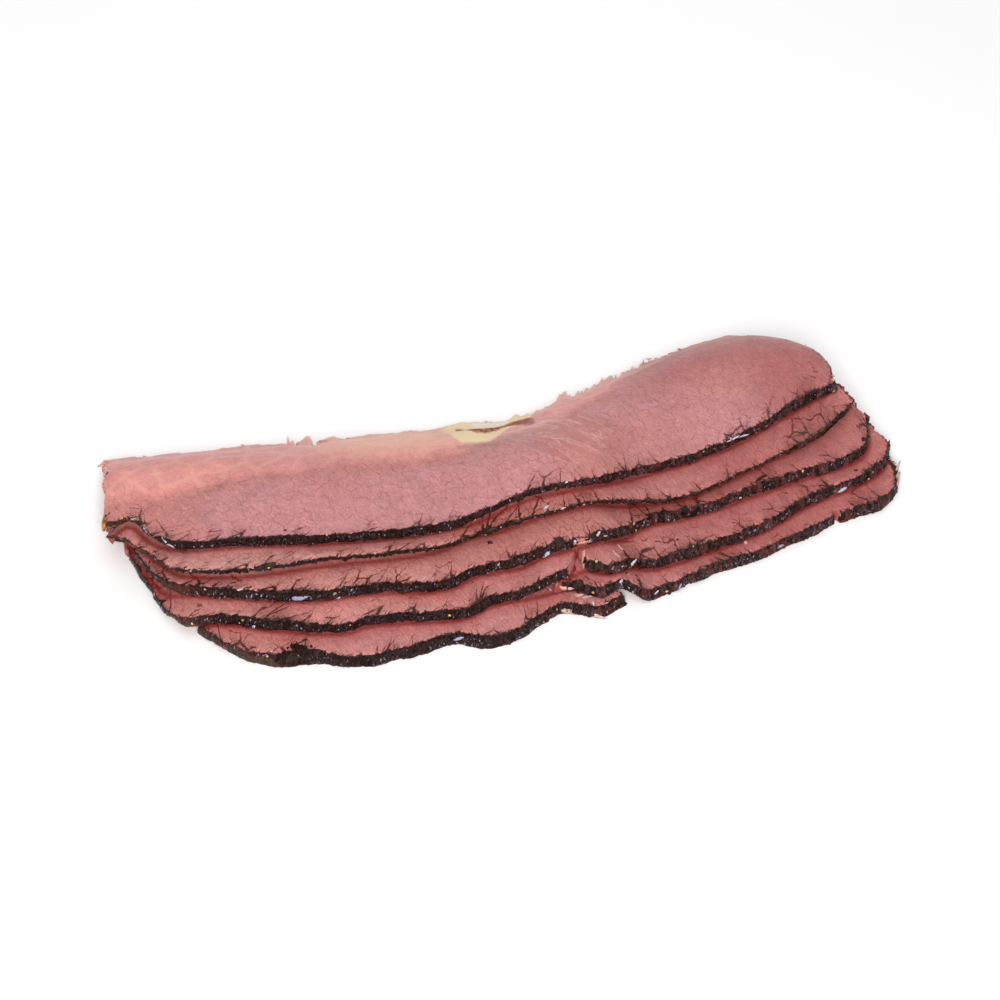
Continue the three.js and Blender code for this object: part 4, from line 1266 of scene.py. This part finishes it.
def bits(name, material, slot, rows, thickness, roughness, rings=5, segments=7, sunk=0.15, pointed=0):
    """One mesh of many small rough beads: each a ball stretched to its size, curled, turned and tipped.

    A pointed one is narrower by that share at its ends.
    """
    rng = np.random.default_rng(len(rows))
    ball, fours, threes = bead(rings, segments)
    place, off, along = rows[:, 0:3], rows[:, 3:6], rows[:, 6:9]
    length, width, turn, tip, curl = rows[:, 9:14].T[:, :, None]
    across = np.cross(off, along)
    heading = along * np.cos(turn) + across * np.sin(turn)
    sideways = across * np.cos(turn) - along * np.sin(turn)
    rising = off * np.cos(tip) - heading * np.sin(tip)
    heading = heading * np.cos(tip) + off * np.sin(tip)
    rough = 1 + roughness * rng.uniform(-1, 1, (len(rows), len(ball)))
    a = ball[:, 0] * rough * length / 2
    b = ball[:, 1] * rough * (1 - pointed * ball[:, 0] ** 2) + curl * (2 * ball[:, 0] ** 2 - 1)
    b = b * width / 2
    c = (ball[:, 2] * rough + 0.5 * ball[:, 0] ** 2) * width * thickness / 2
    centre = place - off * sunk * width * thickness + heading * length * 0.4 * np.sin(tip)
    points = centre[:, None] + heading[:, None] * a[..., None]
    points = points + sideways[:, None] * b[..., None] + rising[:, None] * c[..., None]
    points[..., 2] = np.maximum(points[..., 2], LOWEST_BIT)
    step = len(ball) * np.arange(len(rows))[:, None, None]
    faces = (fours + step).reshape(-1, 4).tolist() + (threes + step).reshape(-1, 3).tolist()
    piece = mesh_object(name, points.reshape(-1, 3), faces, [material])
    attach(piece, "root")


def show_slice(piece, below, meat, crust):
    """Puts a slice in the scene. Crust covers its crusted side with a ragged end, and the stained rim."""
    points, faces, ends, attributes = slice_surface(piece, below)
    all_faces = np.concatenate(faces)
    crusted, stain, _ = attributes["edge_looks"][all_faces].mean(1).T
    _, gap, depth = attributes["edge_place"][all_faces].mean(1).T
    middle = points[all_faces].mean(1)
    ragged = waves(piece, "crust_end", middle[:, 0], middle[:, 1] + depth)
    thin = thinned(piece, middle[:, 0])
    covered = depth + 0.5 * ragged < THICK + 1 - (THICK + 1 - THIN_CRUST) * thin
    on_side = (depth > 0) & (depth < THICK) & (crusted + 0.35 * ragged > 0.5) & covered
    rim = np.minimum(stain * (0.15 + 0.45 * ragged), 1.3)
    rim = rim + humps(middle[:, 0], piece["blocks"]) * (1 + 0.5 * ragged)
    on_rim = (depth == 0) & (crusted > 0.5) & (gap < rim)
    slots = np.concatenate([(on_side | on_rim).astype(int), np.zeros(len(ends), int)])
    name = piece["node"] + "_meat"
    shown = mesh_object(name, points, all_faces.tolist() + ends, [meat, crust], attributes, slots)
    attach(shown, "root")
    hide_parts(piece["node"])


for number, piece in enumerate(SLICES):
    for name, value in DEFAULTS.items():
        piece.setdefault(name, value)
    piece["seed"] = 100 * (number + 1)
    piece["outline"] = outline_of(piece)
meat = cured_beef()
crust = spice_crust()
for number, piece in enumerate(SLICES):
    show_slice(piece, SLICES[:number], meat, crust)

# Loose bits on the crust and the faces, one mesh for each kind. Each row has the piece and its slot; its
# material's name, two colours, the size of their mottling in mm, roughness and relief in mm; the named
# bits; what bits() takes of their form; and what strewn_places() takes, or None.
KINDS = [
    (
        "fat_flakes", "beef_fat", ("beef_fat_flake", FLAKE_WHITE, FLAKE_BLUE, 0.9, 0.3, 0.1),
        FAT_FLAKES, (0.22, 0.25, 5, 6, 0.1, 0.5), (0.05, (0.4, 0.9), (0.3, 0.5), (0, THICK)),
    ),
    # Jelly flecks: the named ones are flakes of jelly; the strewn ones stand in for glints, pale specks
    # painted on the crust.
    (
        "jelly_flecks_and_glints", "beef_fat", ("jelly_fleck_and_glint", FLAKE_BLUE, PAINTED_GLINT_LILAC, 0.5, 0.2, 0.1),
        BLUE_FLAKES, (0.3, 0.2, 4, 6, 0.1, 0.4), (0.5, (0.3, 1.1), (0.2, 0.4), (0.4, THICK), "front", 0.5),
    ),
    (
        "mustard_seeds", "spice_crust", ("mustard_seed_shell", SEED_YELLOW, SEED_BROWN, 0.5, 0.4, 0.1),
        SEEDS, (0.9, 0.05), (0.02, (0.6, 0.9), (0.7, 0.9), (0, THICK)),
    ),
    (
        "pepper_grains", "spice_crust", ("cracked_pepper", PEPPER_BLACK, PEPPER_BROWN, 0.4, 0.45, 0.3),
        PEPPER, (0.8, 0.3, 3, 6), (2.6, (0.4, 1.3), (0.35, 0.8), (-0.2, THICK), "front", 0.5),
    ),
    (
        "bark_lumps", "spice_crust", ("spice_bark_lump", BARK_DARK, BARK_BROWN, 0.6, 0.5, 0.6),
        BARK_LUMPS, (0.8, 0.16, 14, 18, 0.5), None,
    ),
    (
        "beef_shreds", "cured_beef", ("beef_shred", SHRED_PINK, SHRED_PALE, 1.5, 0.4, 0.2),
        SHREDS, (0.3, 0.15, 9, 8), (0.14, (0.8, 2.0), (0.25, 0.6), (0, 0.5), "back", 0.4),
    ),
    (
        "seared_flap", "beef_fat", ("seared_fat_flap", FLAP_AMBER, FLAP_BROWN, 1.2, 0.3, 0.2),
        SEARED_FLAPS, (0.4, 0.15, 9, 8), None,
    ),
    # Red shreds in the tear's pit: partly meat, partly painted shade.
    (
        "red_shreds_and_pit_shade", "cured_beef", ("deep_red_shred_and_pit_shade", SHRED_RED, PIT_SHADE_RED, 1.0, 0.3, 0.1),
        RED_SHREDS, (0.3, 0.15, 9, 8), None,
    ),
    (
        "dry_fat_flakes", "beef_fat", ("dry_fat_flake", DRY_FAT, DRY_FAT_DARK, 0.8, 0.4, 0.1),
        DRY_FLAKES, (0.25, 0.2, 9, 8), None,
    ),
]
draws = np.random.default_rng(7)
for name, slot, look, named, form, strewn in KINDS:
    rows = named_places(named)
    if strewn:
        rows = np.concatenate([rows, strewn_places(draws, *strewn)])
    bits(name, mottled(*look), slot, rows, *form)

# Floor, light and camera, in metres.
half = FLOOR_SIZE / 2
corners = [(-half, -half, 0), (half, -half, 0), (half, half, 0), (-half, half, 0)]
floor_mesh = bpy.data.meshes.new("floor")
floor_mesh.from_pydata(corners, [], [(0, 1, 2, 3)])
floor_mesh.materials.append(pale_floor())
floor = bpy.data.objects.new("floor", floor_mesh)
bpy.context.scene.collection.objects.link(floor)

world = bpy.data.worlds.new("studio")
world.use_nodes = True
world.node_tree.nodes["Background"].inputs["Color"].default_value = (1, 1, 1, 1)
world.node_tree.nodes["Background"].inputs["Strength"].default_value = WORLD_LIGHT
bpy.context.scene.world = world

# Square softboxes aimed at the pile.
for name, place, size, power, colour in SOFTBOXES:
    light = bpy.data.lights.new(name, "AREA")
    light.size = size
    light.energy = power
    light.color = linear(colour)[:3]
    holder = bpy.data.objects.new(name, light)
    holder.location = place
    holder.rotation_euler = (-Vector(place)).to_track_quat("-Z", "Y").to_euler()
    bpy.context.scene.collection.objects.link(holder)

camera_data = bpy.data.cameras.new("camera")
camera_data.lens = LENS
camera_data.sensor_width = SENSOR
camera_data.clip_start = NEAREST
camera = bpy.data.objects.new("camera", camera_data)
back = Vector((
    math.sin(AZIMUTH) * math.cos(ELEVATION),
    -math.cos(AZIMUTH) * math.cos(ELEVATION),
    math.sin(ELEVATION),
))
camera.location = Vector(TARGET) + back * DISTANCE
camera.rotation_euler = back.to_track_quat("Z", "Y").to_euler()
bpy.context.scene.collection.objects.link(camera)
bpy.context.scene.camera = camera
bpy.context.scene.view_settings.view_transform = "Standard"
